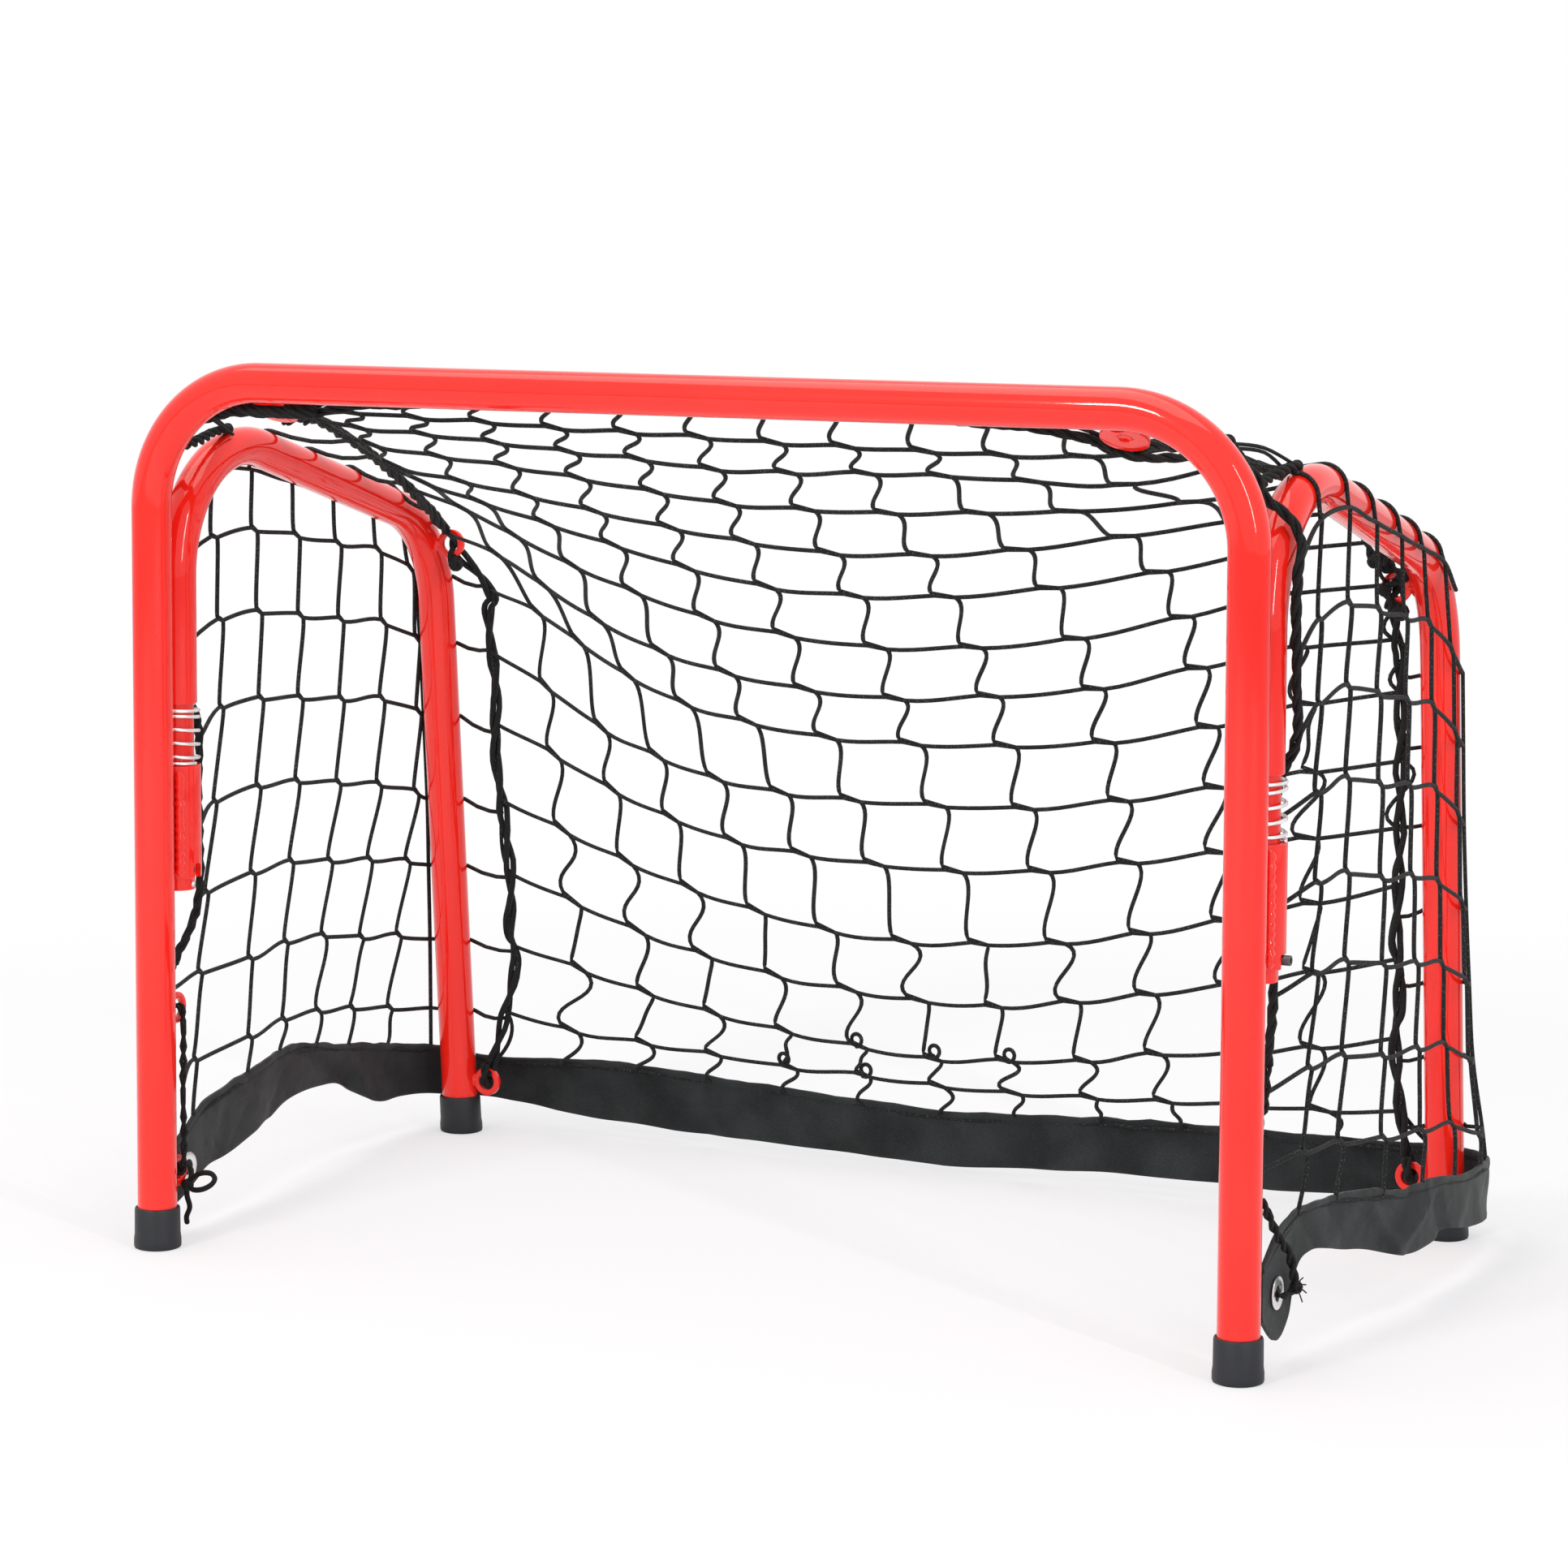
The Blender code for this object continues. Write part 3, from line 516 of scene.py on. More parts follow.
def post_pieces(side, s):
    x = s * POST_X
    fixed(f"front_{side}_foot", cap_shape(x, 0, 0), RUBBER, FRONT, f"front_{side}_cap")
    # Sleeve with its quarter-turn slot and inner notch
    centre = at(x, HINGE_Y, 0)
    profile = hoop(SPIGOT_R + GAP, SLEEVE_R, SLEEVE_BOTTOM, SLEEVE_TOP, 0.0006)
    sleeve = piece(f"{side}_sleeve_smooth", *lathe(centre, Z, profile, 64), RED)
    slot_top = PIN_Z + PIN_R + GAP
    margin = radians(17)
    rows = []
    for k in range(9):
        a = -margin + (pi / 2 + 2 * margin) * k / 8
        ray = Vector((s * cos(a), sin(a), 0))
        near, far = centre + ray * (SPIGOT_R - 0.001), centre + ray * (SLEEVE_R + PIN_PROUD)
        low, high = Z * (SLEEVE_BOTTOM - 0.002), Z * slot_top
        rows.append([near + low, far + low, far + high, near + high])
    notch_centre = centre + Z * (PIN_Z + 0.0004)
    below = centre + Z * (SLEEVE_BOTTOM - 0.003)
    notch = tube([notch_centre - X * s * 0.006, notch_centre - X * s * 0.013], NOTCH_R, 24)
    lower = tube([notch_centre - X * s * 0.0095, below - X * s * 0.0095], NOTCH_R, 24)
    boolean_cut(sleeve, [skin(rows), notch, lower])
    carried(sleeve, FRONT, f"{side}_hinge_sleeve")
    # Weld beads, uneven along their height
    for place, across in (("inner", -s), ("outer", s)):
        points, radii = [], []
        for k in range(40):
            z = SLEEVE_BOTTOM + 0.003 + (SLEEVE_TOP - SLEEVE_BOTTOM - 0.006) * k / 39
            wobble = noise.noise(Vector((k * 0.35, s * 5, across * 9)))
            points.append(at(x + across * (0.0082 + 0.0003 * wobble), 0.0105, z))
            radii.append(0.0024 + 0.0004 * sin(k * 1.9) + 0.0004 * wobble)
        fixed(f"{side}_{place}_bead", tube(points, radii, 12, 0.5), RED_WELD, FRONT,
              f"{side}_sleeve_{place}_weld")
    for name in (f"{side}_post_mid_eye", f"{side}_post_low_eye"):
        fixed(f"{name}_ring", eye_shape(node_centre(name), X, -Y), RED_WELD, FRONT, name)
    name = f"{side}_crossbar_eye"
    slant = Vector((0, 0.5, 0.87)).normalized()
    bar_side = Vector((0, -0.87, 0.5)).normalized()
    ring = eye_shape(node_centre(name) - Z * 0.0008, slant, bar_side, BAR_EYE_R, BAR_EYE_HOLE_R)
    fixed(f"{name}_ring", ring, RED_WELD, FRONT, name)
    name = f"{side}_skirt_grommet"
    bore, collar, flange = 0.004, 0.0049, 0.0078
    profile = [(bore, -0.0019), (flange, -0.0019), (flange, -0.0011), (collar, -0.0011),
               (collar, 0.0011), (flange, 0.0011), (flange, 0.0019), (bore, 0.0019)]
    ring = lathe(node_centre(name), X, rounded(profile, 0.00035, 2), 40)
    fixed(f"{name}_smooth", ring, BRIGHT, FRONT, name)


def side_pieces(side, s):
    body = f"{side}_side"
    x = s * POST_X
    fixed(f"{side}_side_tube_smooth", tube_shape(side_path(x), X), RED, body, f"{side}_side_tube")
    fixed(f"rear_{side}_foot", cap_shape(x, DEPTH, LEG_SPLAY), RUBBER, body, f"rear_{side}_cap")
    centre = at(x, HINGE_Y, 0)
    profile = hoop(SPIGOT_R - 0.0016, SPIGOT_R, SPIGOT_BOTTOM, SHOULDER_Z + 0.01, 0.0005)
    fixed(f"{side}_spigot_smooth", lathe(centre, Z, profile, 56), RED, body, f"{side}_hinge_spigot")
    # A turned-in lip closes the side tube around the spigot
    lip = rounded([(SPIGOT_R + 0.0002, SHOULDER_Z - 0.0006), (TUBE_R - 0.0004, SHOULDER_Z - 0.0006),
                   (TUBE_R, SHOULDER_Z + 0.001), (SPIGOT_R + 0.0002, SHOULDER_Z + 0.001)], 0.0003, 2)
    fixed(f"{side}_tube_lip", lathe(centre, Z, lip, 56), RED, body)
    profile = hoop(0.0014, PIN_R, *sorted((-s * SPIGOT_R, s * (SLEEVE_R + PIN_PROUD))), 0.0003, 2)
    fixed(f"{side}_lock_pin_smooth", lathe(centre + Z * PIN_Z, X, profile, 32), DARK_STEEL, body,
          f"{side}_lock_pin")
    rivet = centre + X * -s * (SPIGOT_R + GAP) + Z * node_centre(f"{side}_spigot_rivet").z
    dome = [(0.0016, -0.0004), (0.0016, 0.0002), (0.0013, 0.0007), (0.0007, 0.001), (0.0002, 0.0011)]
    fixed(f"{side}_rivet_smooth", lathe(rivet, X * -s, dome, 20, closed=False), BRIGHT, body,
          f"{side}_spigot_rivet")
    for name in (f"{side}_rear_high_eye", f"{side}_rear_low_eye"):
        fixed(f"{name}_ring", eye_shape(node_centre(name), Y, X * s), RED_WELD, body, name)

    # Spring: close end turns, wide ones between
    wire = 0.0009
    coil_r = SLEEVE_R - wire - 0.0001
    low_z, high_z = SLEEVE_TOP + wire, SHOULDER_Z - 0.0008 - wire
    close_pitch = 0.0027
    low_turns, wide_turns, high_turns = 1.0, 3.1, 1.7
    wide_pitch = (high_z - low_z - close_pitch * (low_turns + high_turns)) / wide_turns
    points = []
    steps = 30
    for k in range(round((low_turns + wide_turns + high_turns) * steps) + 1):
        turn = k / steps
        wide = min(max(turn - low_turns, 0.0), wide_turns)
        z = low_z + close_pitch * (turn - wide) + wide_pitch * wide
        a = s * 2 * pi * turn
        points.append(centre + Vector((coil_r * cos(a), coil_r * sin(a), z)))
    spring = piece(f"{side}_spring_wire", *tube(points, wire, 12, 0.4), BRIGHT)
    carried(spring, f"{side}_carriage", f"{side}_spring")
    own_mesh(spring)


for side_name, side_sign in SIDES:
    post_pieces(side_name, side_sign)
    side_pieces(side_name, side_sign)

# Skirt plan from its front end to the middle of the back: x, y, and bottom and top heights, left then right
SKIRT_PLAN = [
    (POST_X + 0.005, 0.016, 0.014, 0.046, 0.024, 0.05),
    (POST_X + 0.0052, 0.034, 0.0205, 0.0545, 0.012, 0.062),
    (POST_X + 0.0062, 0.048, 0.026, 0.0622, 0.02, 0.0665),
    (POST_X + 0.008, 0.062, 0.03, 0.0655, 0.0455, 0.069),
    (POST_X + 0.013, 0.116, 0.037, 0.0715, 0.0375, 0.0655),
    (POST_X + 0.022, 0.16, 0.0438, 0.073, 0.027, 0.0585),
    (POST_X + 0.0265, 0.2, 0.044, 0.068, 0.0235, 0.056),
    (POST_X + 0.0275, 0.226, 0.04, 0.0627, 0.025, 0.0525),
    (POST_X + 0.027, 0.262, 0.0245, 0.0572, 0.02, 0.0475),
    (POST_X + 0.0265, DEPTH - 0.023, 0.0215, 0.052, 0.016, 0.046),
    (POST_X + 0.016, DEPTH + 0.009, 0.0175, 0.046, 0.012, 0.044),
    (POST_X - 0.01, SKIRT_Y, 0.017, 0.04, 0.013, 0.043),
    (0.69 * POST_X, SKIRT_Y, 0.0095, 0.0436, 0.011, 0.042),
    (0.345 * POST_X, SKIRT_Y, 0.007, 0.039, 0.01, 0.04),
    (0.0, SKIRT_Y, 0.0045, 0.0345, 0.0045, 0.0345),
]


def eased_plan(side, steps):
    """Places along one half of the skirt: x, y, bottom z, top z."""
    first = 2 if side < 0 else 4
    low = eased([(row[0], row[1], row[first]) for row in SKIRT_PLAN], steps)
    high = eased([(row[0], row[1], row[first + 1]) for row in SKIRT_PLAN], steps)
    return [(a.x, a.y, a.z, b.z) for a, b in zip(low, high)]


SKIRT_HALVES = {-1: eased_plan(-1, 16), 1: eased_plan(1, 16)}


def skirt_at(s, y):
    half = SKIRT_HALVES[s]
    for a, b in zip(half, half[1:]):
        if a[1] <= y <= b[1]:
            t = (y - a[1]) / max(b[1] - a[1], 1e-6)
            return a[0] + (b[0] - a[0]) * t, a[3] + (b[3] - a[3]) * t
    return half[-1][0], half[-1][3]


def skirt_back_top(x):
    half = SKIRT_HALVES[-1 if x < 0 else 1]
    for a, b in zip(half, half[1:]):
        if b[0] <= abs(x) <= a[0] and a[1] > DEPTH:
            return a[3] + (b[3] - a[3]) * (a[0] - abs(x)) / (a[0] - b[0])
    return half[-1][3]


def fold_with(made):
    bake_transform(made)


# Edge ropes: from the crossbar eye straight back to the upper rear eye, then down inside the rear leg
HIGH_EYE = node_centre("right_rear_high_eye")
LOW_EYE = node_centre("right_rear_low_eye")
BAR_EYE = node_centre("right_crossbar_eye")
EDGE_LIFT = {
    -1: ((0.15, -0.002, 0.007), (0.35, -0.002, 0.012), (0.6, 0.0, 0.014), (0.8, 0.0, 0.011)),
    1: ((0.15, -0.002, 0.007), (0.35, 0.003, 0.016), (0.6, 0.008, 0.022), (0.8, 0.008, 0.021)),
}


def edge_top(s):
    """The edge rope's points along one top tube, in the right half."""
    points = [BAR_EYE + Vector((0.002, 0.012, -0.007))]
    points += [BAR_EYE.lerp(HIGH_EYE, share) + Vector((dx, 0, dz)) for share, dx, dz in EDGE_LIFT[s]]
    return points + [HIGH_EYE + Vector((0.002, -0.002, 0.0075) if s < 0 else (-0.004, -0.003, 0.012))]


inside_x = POST_X - EYE_REACH
# The lace down the rear leg hangs further from the left leg than from the right one
LACE_FALL = ((0.288, 0.311), (0.289, 0.297), (0.29, 0.256), (0.294, 0.206), (0.299, 0.15), (0.302, 0.118),
             (0.303, 0.104), (0.308, 0.062))
LACE_INSET = {-1: (0.0155, 0.012, 0.017, 0.0165, 0.0215, 0.0185, 0.022, 0.011),
              1: (0.006, 0.0035, 0.0025, 0.004, 0.006, 0.005, 0.007, 0.005)}


def edge_down(s):
    """The lace's points at one rear leg, in the right half."""
    points = [HIGH_EYE + Vector((-0.003, 0.004, -0.006))]
    points += [at(inside_x - inset, y, z) for inset, (y, z) in zip(LACE_INSET[s], LACE_FALL)]
    return points + [LOW_EYE + Vector((-0.001, 0.0, 0.006))]


def net_edge(s):
    line = eased(edge_top(s), 6)[:-1] + eased(edge_down(s), 6)[:-1]
    return line + [at(POST_X - 0.01, SKIRT_Y - 0.004, skirt_back_top(s * (POST_X - 0.012)))]


EDGE_LINES = {-1: net_edge(-1), 1: net_edge(1)}
centre_line = eased([
    at(0, NET_TOP_Y, BAR_Z - 0.006), at(0, 0.351 * DEPTH, 0.761 * BAR_Z), at(0, 0.655 * DEPTH, 0.511 * BAR_Z),
    at(0, 0.911 * DEPTH, 0.273 * BAR_Z), at(0, SKIRT_Y, skirt_back_top(0))], 8)


def back_point(u, v):
    v = min(max(v, 0.0), 1.0)
    u = min(max(u, -1.0), 1.0)
    at_edge = along(EDGE_LINES[-1 if u < 0 else 1], v)
    at_middle = along(centre_line, v)
    near_bar = 1 - abs(u) ** 12
    hanging = (1 - u * u) ** 1.4
    share = near_bar + (hanging - near_bar) * min(1.0, v * 4)
    point = at_edge.lerp(at_middle, share)
    point.x = u * at_edge.x
    if v > 0.97:
        target = skirt_back_top(point.x)
        point.z += (target - point.z) * (v - 0.97) / 0.03
        point.y += (SKIRT_Y + FRONT_Y - point.y) * (v - 0.97) / 0.03
    return point


def side_surface(s):
    outside = s * NET_OUTSIDE
    arc = [point for point, _ in side_path(s * POST_X)]
    start = NET_START_Y + FRONT_Y
    middle = arc[len(arc) - 1 - (BEND_STEPS // 2 + 1)]
    top_line, rear_line = [], []
    for a, b in zip(arc, arc[1:]):
        if a.y <= start < b.y:
            t = (start - a.y) / (b.y - a.y)
            top_line.append(Vector((outside, start, a.z + (b.z - a.z) * t)))
        if start < b.y <= middle.y and b.z >= middle.z:
            top_line.append(Vector((outside, b.y, b.z)))
        elif b.y > middle.y:
            rear_line.append(Vector((outside, b.y, b.z)))
    rear_line = [top_line[-1]] + [p for p in rear_line if p.z > 0.1]
    rear_line += [at(outside, leg_y(0.2), 0.2), at(outside + s * 0.0032, leg_y(0.1), 0.1)]
    rear_y = DEPTH + 0.001
    wide, top = skirt_at(s, rear_y)
    rear_line.append(at(s * wide, rear_y, top))
    wide, top = skirt_at(s, NET_START_Y)
    front_line = [top_line[0], at(outside, NET_START_Y, 0.15), at(s * wide, NET_START_Y, top)]

    def point_at(u, v):
        u = min(max(u, 0.0), 1.0)
        v = min(max(v, 0.0), 1.0)
        y = NET_START_Y + (rear_y - NET_START_Y) * u
        wide_here, top_here = skirt_at(s, y)
        bottom = at(s * wide_here, y, top_here)
        across = along(top_line, u).lerp(bottom, v)
        down = along(front_line, v).lerp(along(rear_line, v), u)
        corners = top_line[0].lerp(top_line[-1], u).lerp(front_line[-1].lerp(rear_line[-1], u), v)
        return across + down - corners
    return point_at


# The back net's rows as shares of the way down, at five places across
NET_PLACES = (-1.0, -0.6, 0.0, 0.6, 1.0)
NET_ROWS = [
    (0.0, 0.0, 0.0, 0.0, 0.0), (0.02, 0.03, 0.043, 0.052, 0.064), (0.045, 0.056, 0.085, 0.096, 0.146),
    (0.08, 0.095, 0.135, 0.162, 0.238), (0.13, 0.148, 0.188, 0.248, 0.326), (0.2, 0.205, 0.25, 0.32, 0.39),
    (0.31, 0.29, 0.321, 0.398, 0.45), (0.43, 0.393, 0.4, 0.468, 0.508), (0.5, 0.478, 0.468, 0.534, 0.553),
    (0.56, 0.577, 0.56, 0.601, 0.612), (0.627, 0.65, 0.656, 0.67, 0.67), (0.698, 0.732, 0.767, 0.745, 0.72),
    (0.768, 0.81, 0.852, 0.815, 0.785), (0.838, 0.88, 0.928, 0.886, 0.855), (0.905, 0.937, 0.965, 0.94, 0.92),
    (1.0, 1.0, 1.0, 1.0, 1.0),
]
# The side nets' columns at three shares of the way down, and their rows at three shares of the way back
COLUMN_STEPS = (0.0, 0.4, 1.0)
ROW_STEPS = (0.0, 0.18, 1.0)
SIDE_COLUMNS = {
    -1: ((0.0, 0.0, 0.0), (0.17, 0.2, 0.04), (0.32, 0.35, 0.26), (0.48, 0.52, 0.43), (0.65, 0.68, 0.59),
         (0.82, 0.84, 0.72), (0.97, 0.985, 0.87), (1.0, 1.0, 1.0)),
    1: ((0.0, 0.0, 0.0), (0.135, 0.125, 0.09), (0.29, 0.275, 0.25), (0.45, 0.43, 0.41), (0.605, 0.59, 0.57),
        (0.745, 0.755, 0.735), (0.89, 0.91, 0.9), (1.0, 1.0, 1.0)),
}
SIDE_ROWS = {
    -1: ((0.03, 0.036, 0.0), (0.13, 0.14, 0.08), (0.25, 0.27, 0.21), (0.38, 0.41, 0.35), (0.52, 0.55, 0.51),
         (0.66, 0.69, 0.64), (0.77, 0.82, 0.785), (0.91, 0.95, 0.925), (1.0, 1.0, 1.0)),
    1: ((0.02, 0.03, 0.005), (0.15, 0.165, 0.125), (0.275, 0.285, 0.25), (0.395, 0.41, 0.385),
        (0.525, 0.541, 0.53), (0.655, 0.668, 0.66), (0.785, 0.8, 0.79), (0.91, 0.925, 0.915),
        (1.0, 1.0, 1.0)),
}
CORD_SIDES = 6
# Slack loops standing on knots of the back net: row, column and lean
SLACK_LOOPS = {
    -1: ((13, 6, 0.001), (13, 5, -0.001), (14, 5, 0.002), (14, 4, -0.002)),
    1: ((13, 7, 0.001),),
}


def between(places, values, x):
    """A smooth curve through values at places."""
    last = len(places) - 1
    k = min(max(sum(place <= x for place in places) - 1, 0), last - 1)

    def slope(n):
        a, b = max(n - 1, 0), min(n + 1, last)
        return (values[b] - values[a]) / (places[b] - places[a])
    width = places[k + 1] - places[k]
    t = min(max((x - places[k]) / width, 0.0), 1.0)
    rise = values[k + 1] - values[k]
    first, second = slope(k) * width, slope(k + 1) * width
    return (values[k] + first * t + (3 * rise - 2 * first - second) * t ** 2
            + (first + second - 2 * rise) * t ** 3)


def cord(points, taper=0.0):
    return tube(points, CORD_R, CORD_SIDES, taper)


def net_cords(knots, knot_half, tilt, pull, jitter, slack, seed, first, last, uprights):
    """Cords through a grid of knots, drawn from the first to the last column. A row steps down across each
    knot, and an upright comes into the knot's upper end, runs along with the row and leaves its lower end."""
    chance = random.Random(seed)
    count_i, count_j = len(knots), len(knots[0])
    spots, runs, falls, sags, bows, curls = {}, {}, {}, {}, {}, {}
    for i in range(count_i):
        for j in range(count_j):
            run = (knots[i][min(j + 1, count_j - 1)] - knots[i][max(j - 1, 0)]).normalized()
            fall = (knots[min(i + 1, count_i - 1)][j] - knots[max(i - 1, 0)][j]).normalized()
            inner = 0 < i < count_i - 1 and 0 < j < count_j - 1
            move = jitter if inner else 0.0
            spots[i, j] = knots[i][j] + run * chance.uniform(-move, move) + fall * chance.uniform(-move, move)
            runs[i, j], falls[i, j] = run, fall
            sag, bow = slack(i, j)
            sags[i, j] = sag * chance.uniform(0.3, 1.0)
            bows[i, j] = bow * chance.choice((-1, 1)) * chance.uniform(0.4, 1.0)
            curls[i, j] = chance.choice((1, 2))

    def ends(i, j):
        edge = j in (0, count_j - 1) or i in (0, count_i - 1)
        half = 0.0 if j in (0, count_j - 1) else knot_half
        step = 0.0 if edge else tilt
        run, fall = runs[i, j], falls[i, j]
        return spots[i, j] - run * half - fall * step, spots[i, j] + run * half + fall * step

    def curve(a, b, heading_a, heading_b, reach, steps):
        out = []
        for k in range(steps):
            t = k / steps
            out.append(a * (1 - t) ** 3 + (a + heading_a * reach) * 3 * t * (1 - t) ** 2
                       + (b - heading_b * reach) * 3 * t * t * (1 - t) + b * t ** 3)
        return out
    shapes = []
    for i in range(count_i):
        points = []
        for j in range(first, last + 1):
            before, after = ends(i, j)
            doubled = (after - before).length > 1e-5
            if doubled and j > first:
                points.append(before)
            if doubled and j < last:
                points.append(spots[i, j])
            if j < last:
                following = ends(i, j + 1)[0]
                reach = (following - after).length * 0.35
                middle = curve(after, following, runs[i, j], runs[i, j + 1], reach, 6)
                for k, point in enumerate(middle):
                    point.z -= 4 * (k / 6) * (1 - k / 6) * sags[i, j]
                points += middle
        points.append(spots[i, last])
        shapes.append(cord(points))
    for j in uprights:
        points = []
        for i in range(count_i - 1):
            start, end = ends(i, j)[1], ends(i + 1, j)[0]
            lead_out = falls[i, j] + runs[i, j] * (0.75 if i else 0.0)
            lead_in = falls[i + 1, j] + runs[i + 1, j] * (0.75 if i < count_i - 2 else 0.0)
            reach = min(pull, (end - start).length * 0.5)
            middle = curve(start, end, lead_out.normalized(), lead_in.normalized(), reach, 12)
            for k, point in enumerate(middle):
                points.append(point + runs[i, j] * bows[i, j] * sin(pi * curls[i, j] * k / 12))
        points.append(spots[count_i - 1, j])
        shapes.append(cord(points))
    return shapes


def curl_loop(knot, radius, lean):
    """A little slack loop of cord standing on a knot."""
    points = []
    for k in range(17):
        a = radians(-80 + 340 * k / 16)
        grow = radius * (1 - 0.2 * k / 16)
        points.append(knot + Vector((lean + grow * cos(a), 0.0012 * (k / 8 - 1), radius + grow * sin(a))))
    return cord([knot] + points, 0.5)


def lace_route(s):
    """The front lace, from the corner down outside the side tube, behind the sleeve and through the eyes."""
    step = EYE_HALF + ROPE_R + 0.0004
    outside = POST_X + 0.0146
    behind = HINGE_Y + SLEEVE_R + PIN_PROUD + ROPE_R + 0.0015
    return trail(
        s, (0.277, 0.0135, 0.4235), (0.2825, 0.014, 0.4149), (0.2869, 0.018, 0.4085), (0.289, 0.02, 0.401),
        (0.294, 0.025, 0.396), (0.299, 0.029, 0.3905), (POST_X + 0.014, 0.029, 0.38),
        (outside, 0.024, 0.369), (outside, 0.022, 0.355), (outside, 0.0235, 0.335),
        (outside, 0.025, 0.313), (POST_X + 0.011, behind - 0.005, SLEEVE_TOP + 0.045),
        (POST_X, behind, SLEEVE_TOP + 0.02), (POST_X, behind, SLEEVE_TOP - 0.0195),
        (POST_X, behind, SLEEVE_BOTTOM - 0.015), (POST_X + step, EYE_REACH + 0.004, MID_EYE_Z + 0.022),
        (POST_X + step, EYE_REACH, MID_EYE_Z + 0.002), (POST_X - step, EYE_REACH, MID_EYE_Z - 0.002),
        (POST_X - step, EYE_REACH, (MID_EYE_Z + LOW_EYE_Z) / 2),
        (POST_X - step, EYE_REACH, LOW_EYE_Z + 0.003), (POST_X, EYE_REACH, LOW_EYE_Z))


def lace_at(route, z):
    for a, b in zip(route, route[1:]):
        if b.z <= z <= a.z and a.z - b.z > 1e-6:
            return a.lerp(b, (a.z - z) / (a.z - b.z))
    return (route[0] if z > route[0].z else route[-1]).copy()


def over_tube(foot, centre, first, second, turn, steps):
    """Points of a cord laid round a tube from foot, turning from one direction towards another."""
    reach = TUBE_R + CORD_R * 0.8
    angles = [turn * k / steps for k in range(1, steps + 1)]
    return [foot] + [centre + (first * cos(a) + second * sin(a)) * reach for a in angles]


def drawn_to(points, goal, steps, sag):
    """A cord through points, drawn on to a goal with a little sag."""
    start = points[-1]
    for k in range(1, steps + 1):
        points.append(start.lerp(goal, k / steps) - Z * sag * sin(pi * k / steps))
    return cord(points)


def tube_centre(s, y):
    """Centre and tangent of a side tube's upper run at a distance back."""
    path = side_path(s * POST_X)
    place = y + FRONT_Y
    for (a, heading), (b, _) in zip(path, path[1:]):
        if a.y <= place < b.y:
            return a.lerp(b, (place - a.y) / (b.y - a.y)), heading
    return path[-1]


tie_centre, _ = tube_centre(1, 0.068)
TIE_END = tie_centre + Vector((-0.002, 0.0, TUBE_R + 0.0022))
BACK_SHARES = [2 * k / BACK_COLUMNS - 1 for k in range(BACK_COLUMNS + 1)]
BACK_KNOTS = []
for row_values in NET_ROWS:
    BACK_KNOTS.append([back_point(u, between(NET_PLACES, row_values, u)) for u in BACK_SHARES])
for hem_point in BACK_KNOTS[-1]:
    hem_point.z -= HEM_DROP


def back_slack(i, j):
    """How far a cord below and beside a back knot sags and bows."""
    if i >= 13:
        return 0.0008, 0.0042
    if i >= 11:
        return 0.001, 0.0034 if i % 2 else 0.0022
    return 0.0004, 0.0055 if j >= BACK_COLUMNS - 1 and 1 < i < 10 else 0.0005


def side_slack(i, j):
    return 0.0006, 0.0004 if i < 6 else 0.002


def side_knots(s):
    surface = side_surface(s)
    route = lace_route(s)
    knots = []
    for row in SIDE_ROWS[s]:
        line = []
        for column in SIDE_COLUMNS[s]:
            u = between(COLUMN_STEPS, column, row[1])
            droop = 0.034 * min(1.0, max(0.0, u - 0.76) / 0.15) if s > 0 and row[0] > 0.1 else 0.0
            line.append(surface(u, min(1.0, between(ROW_STEPS, row, u) + droop)))
        if row[1] < 1.0:
            line[0] = lace_at(route, line[0].z)
        knots.append(line)
    for point in knots[-1]:
        point.z -= HEM_DROP
    return knots


def net_half(side, s):
    middle = BACK_COLUMNS // 2
    first, last = (0, middle) if s < 0 else (middle, BACK_COLUMNS)
    uprights = range(0, middle + 1) if s < 0 else range(middle + 1, BACK_COLUMNS + 1)
    shapes = net_cords(BACK_KNOTS, 0.0046, 0.001, 0.01, 0.0012, back_slack, 11, first, last, uprights)
    knots = side_knots(s)
    last_column = len(SIDE_COLUMNS[s]) - 1
    shapes += net_cords(knots, 0.0026, 0.0011, 0.004, 0.001, side_slack, 21 + s, 0, last_column,
                        range(1, last_column))
    # The side's uprights go on over the top tube to the edge rope, and its rows around the rear leg
    path = [point for point, _ in side_path(s * POST_X)]
    edge = [point * Vector((s, 1, 1)) for point in EDGE_LINES[s]]
    for j in range(1, last_column):
        foot = knots[0][j]
        centre, tangent = tube_centre(s, foot.y - FRONT_Y)
        outward = Z / max(tangent.y, 0.72)
        points = over_tube(foot, centre, X * s, outward, radians(100), 9)
        goal = min(edge, key=lambda point: abs(point.y - foot.y) + (point.z <= HIGH_EYE.z))
        if j == 1:
            goal = TIE_END * Vector((s, 1, 1))
        shapes.append(drawn_to(points, goal, 4, 0.003 if j > 1 else 0.0))
    shapes.append(cord(eased([line[-1] for line in knots[1:]], 5)))
    for line in knots[1:-1]:
        foot = line[-1]
        centre = at(s * POST_X, leg_y(foot.z), foot.z)
        if foot.z > HIGH_EYE.z - 0.02:
            centre = min(path, key=lambda point: abs(point.z - foot.z) + (point.y < foot.y - 0.03))
        points = over_tube(foot, centre, X * s, Y, radians(135), 9)
        goal = min(edge, key=lambda point: abs(point.z - foot.z + 0.004) + 0.02 * (point.z >= HIGH_EYE.z))
        shapes.append(drawn_to(points, goal, 3, 0.002))
    for i, j, lean in SLACK_LOOPS[s]:
        shapes.append(curl_loop(BACK_KNOTS[i][j], 0.0036, lean))
    made = piece(f"{side}_net", *joined(shapes), CORD, 80)
    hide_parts(f"{side}_side_net", *(["back_net"] if s < 0 else []))
    fold_with(made)


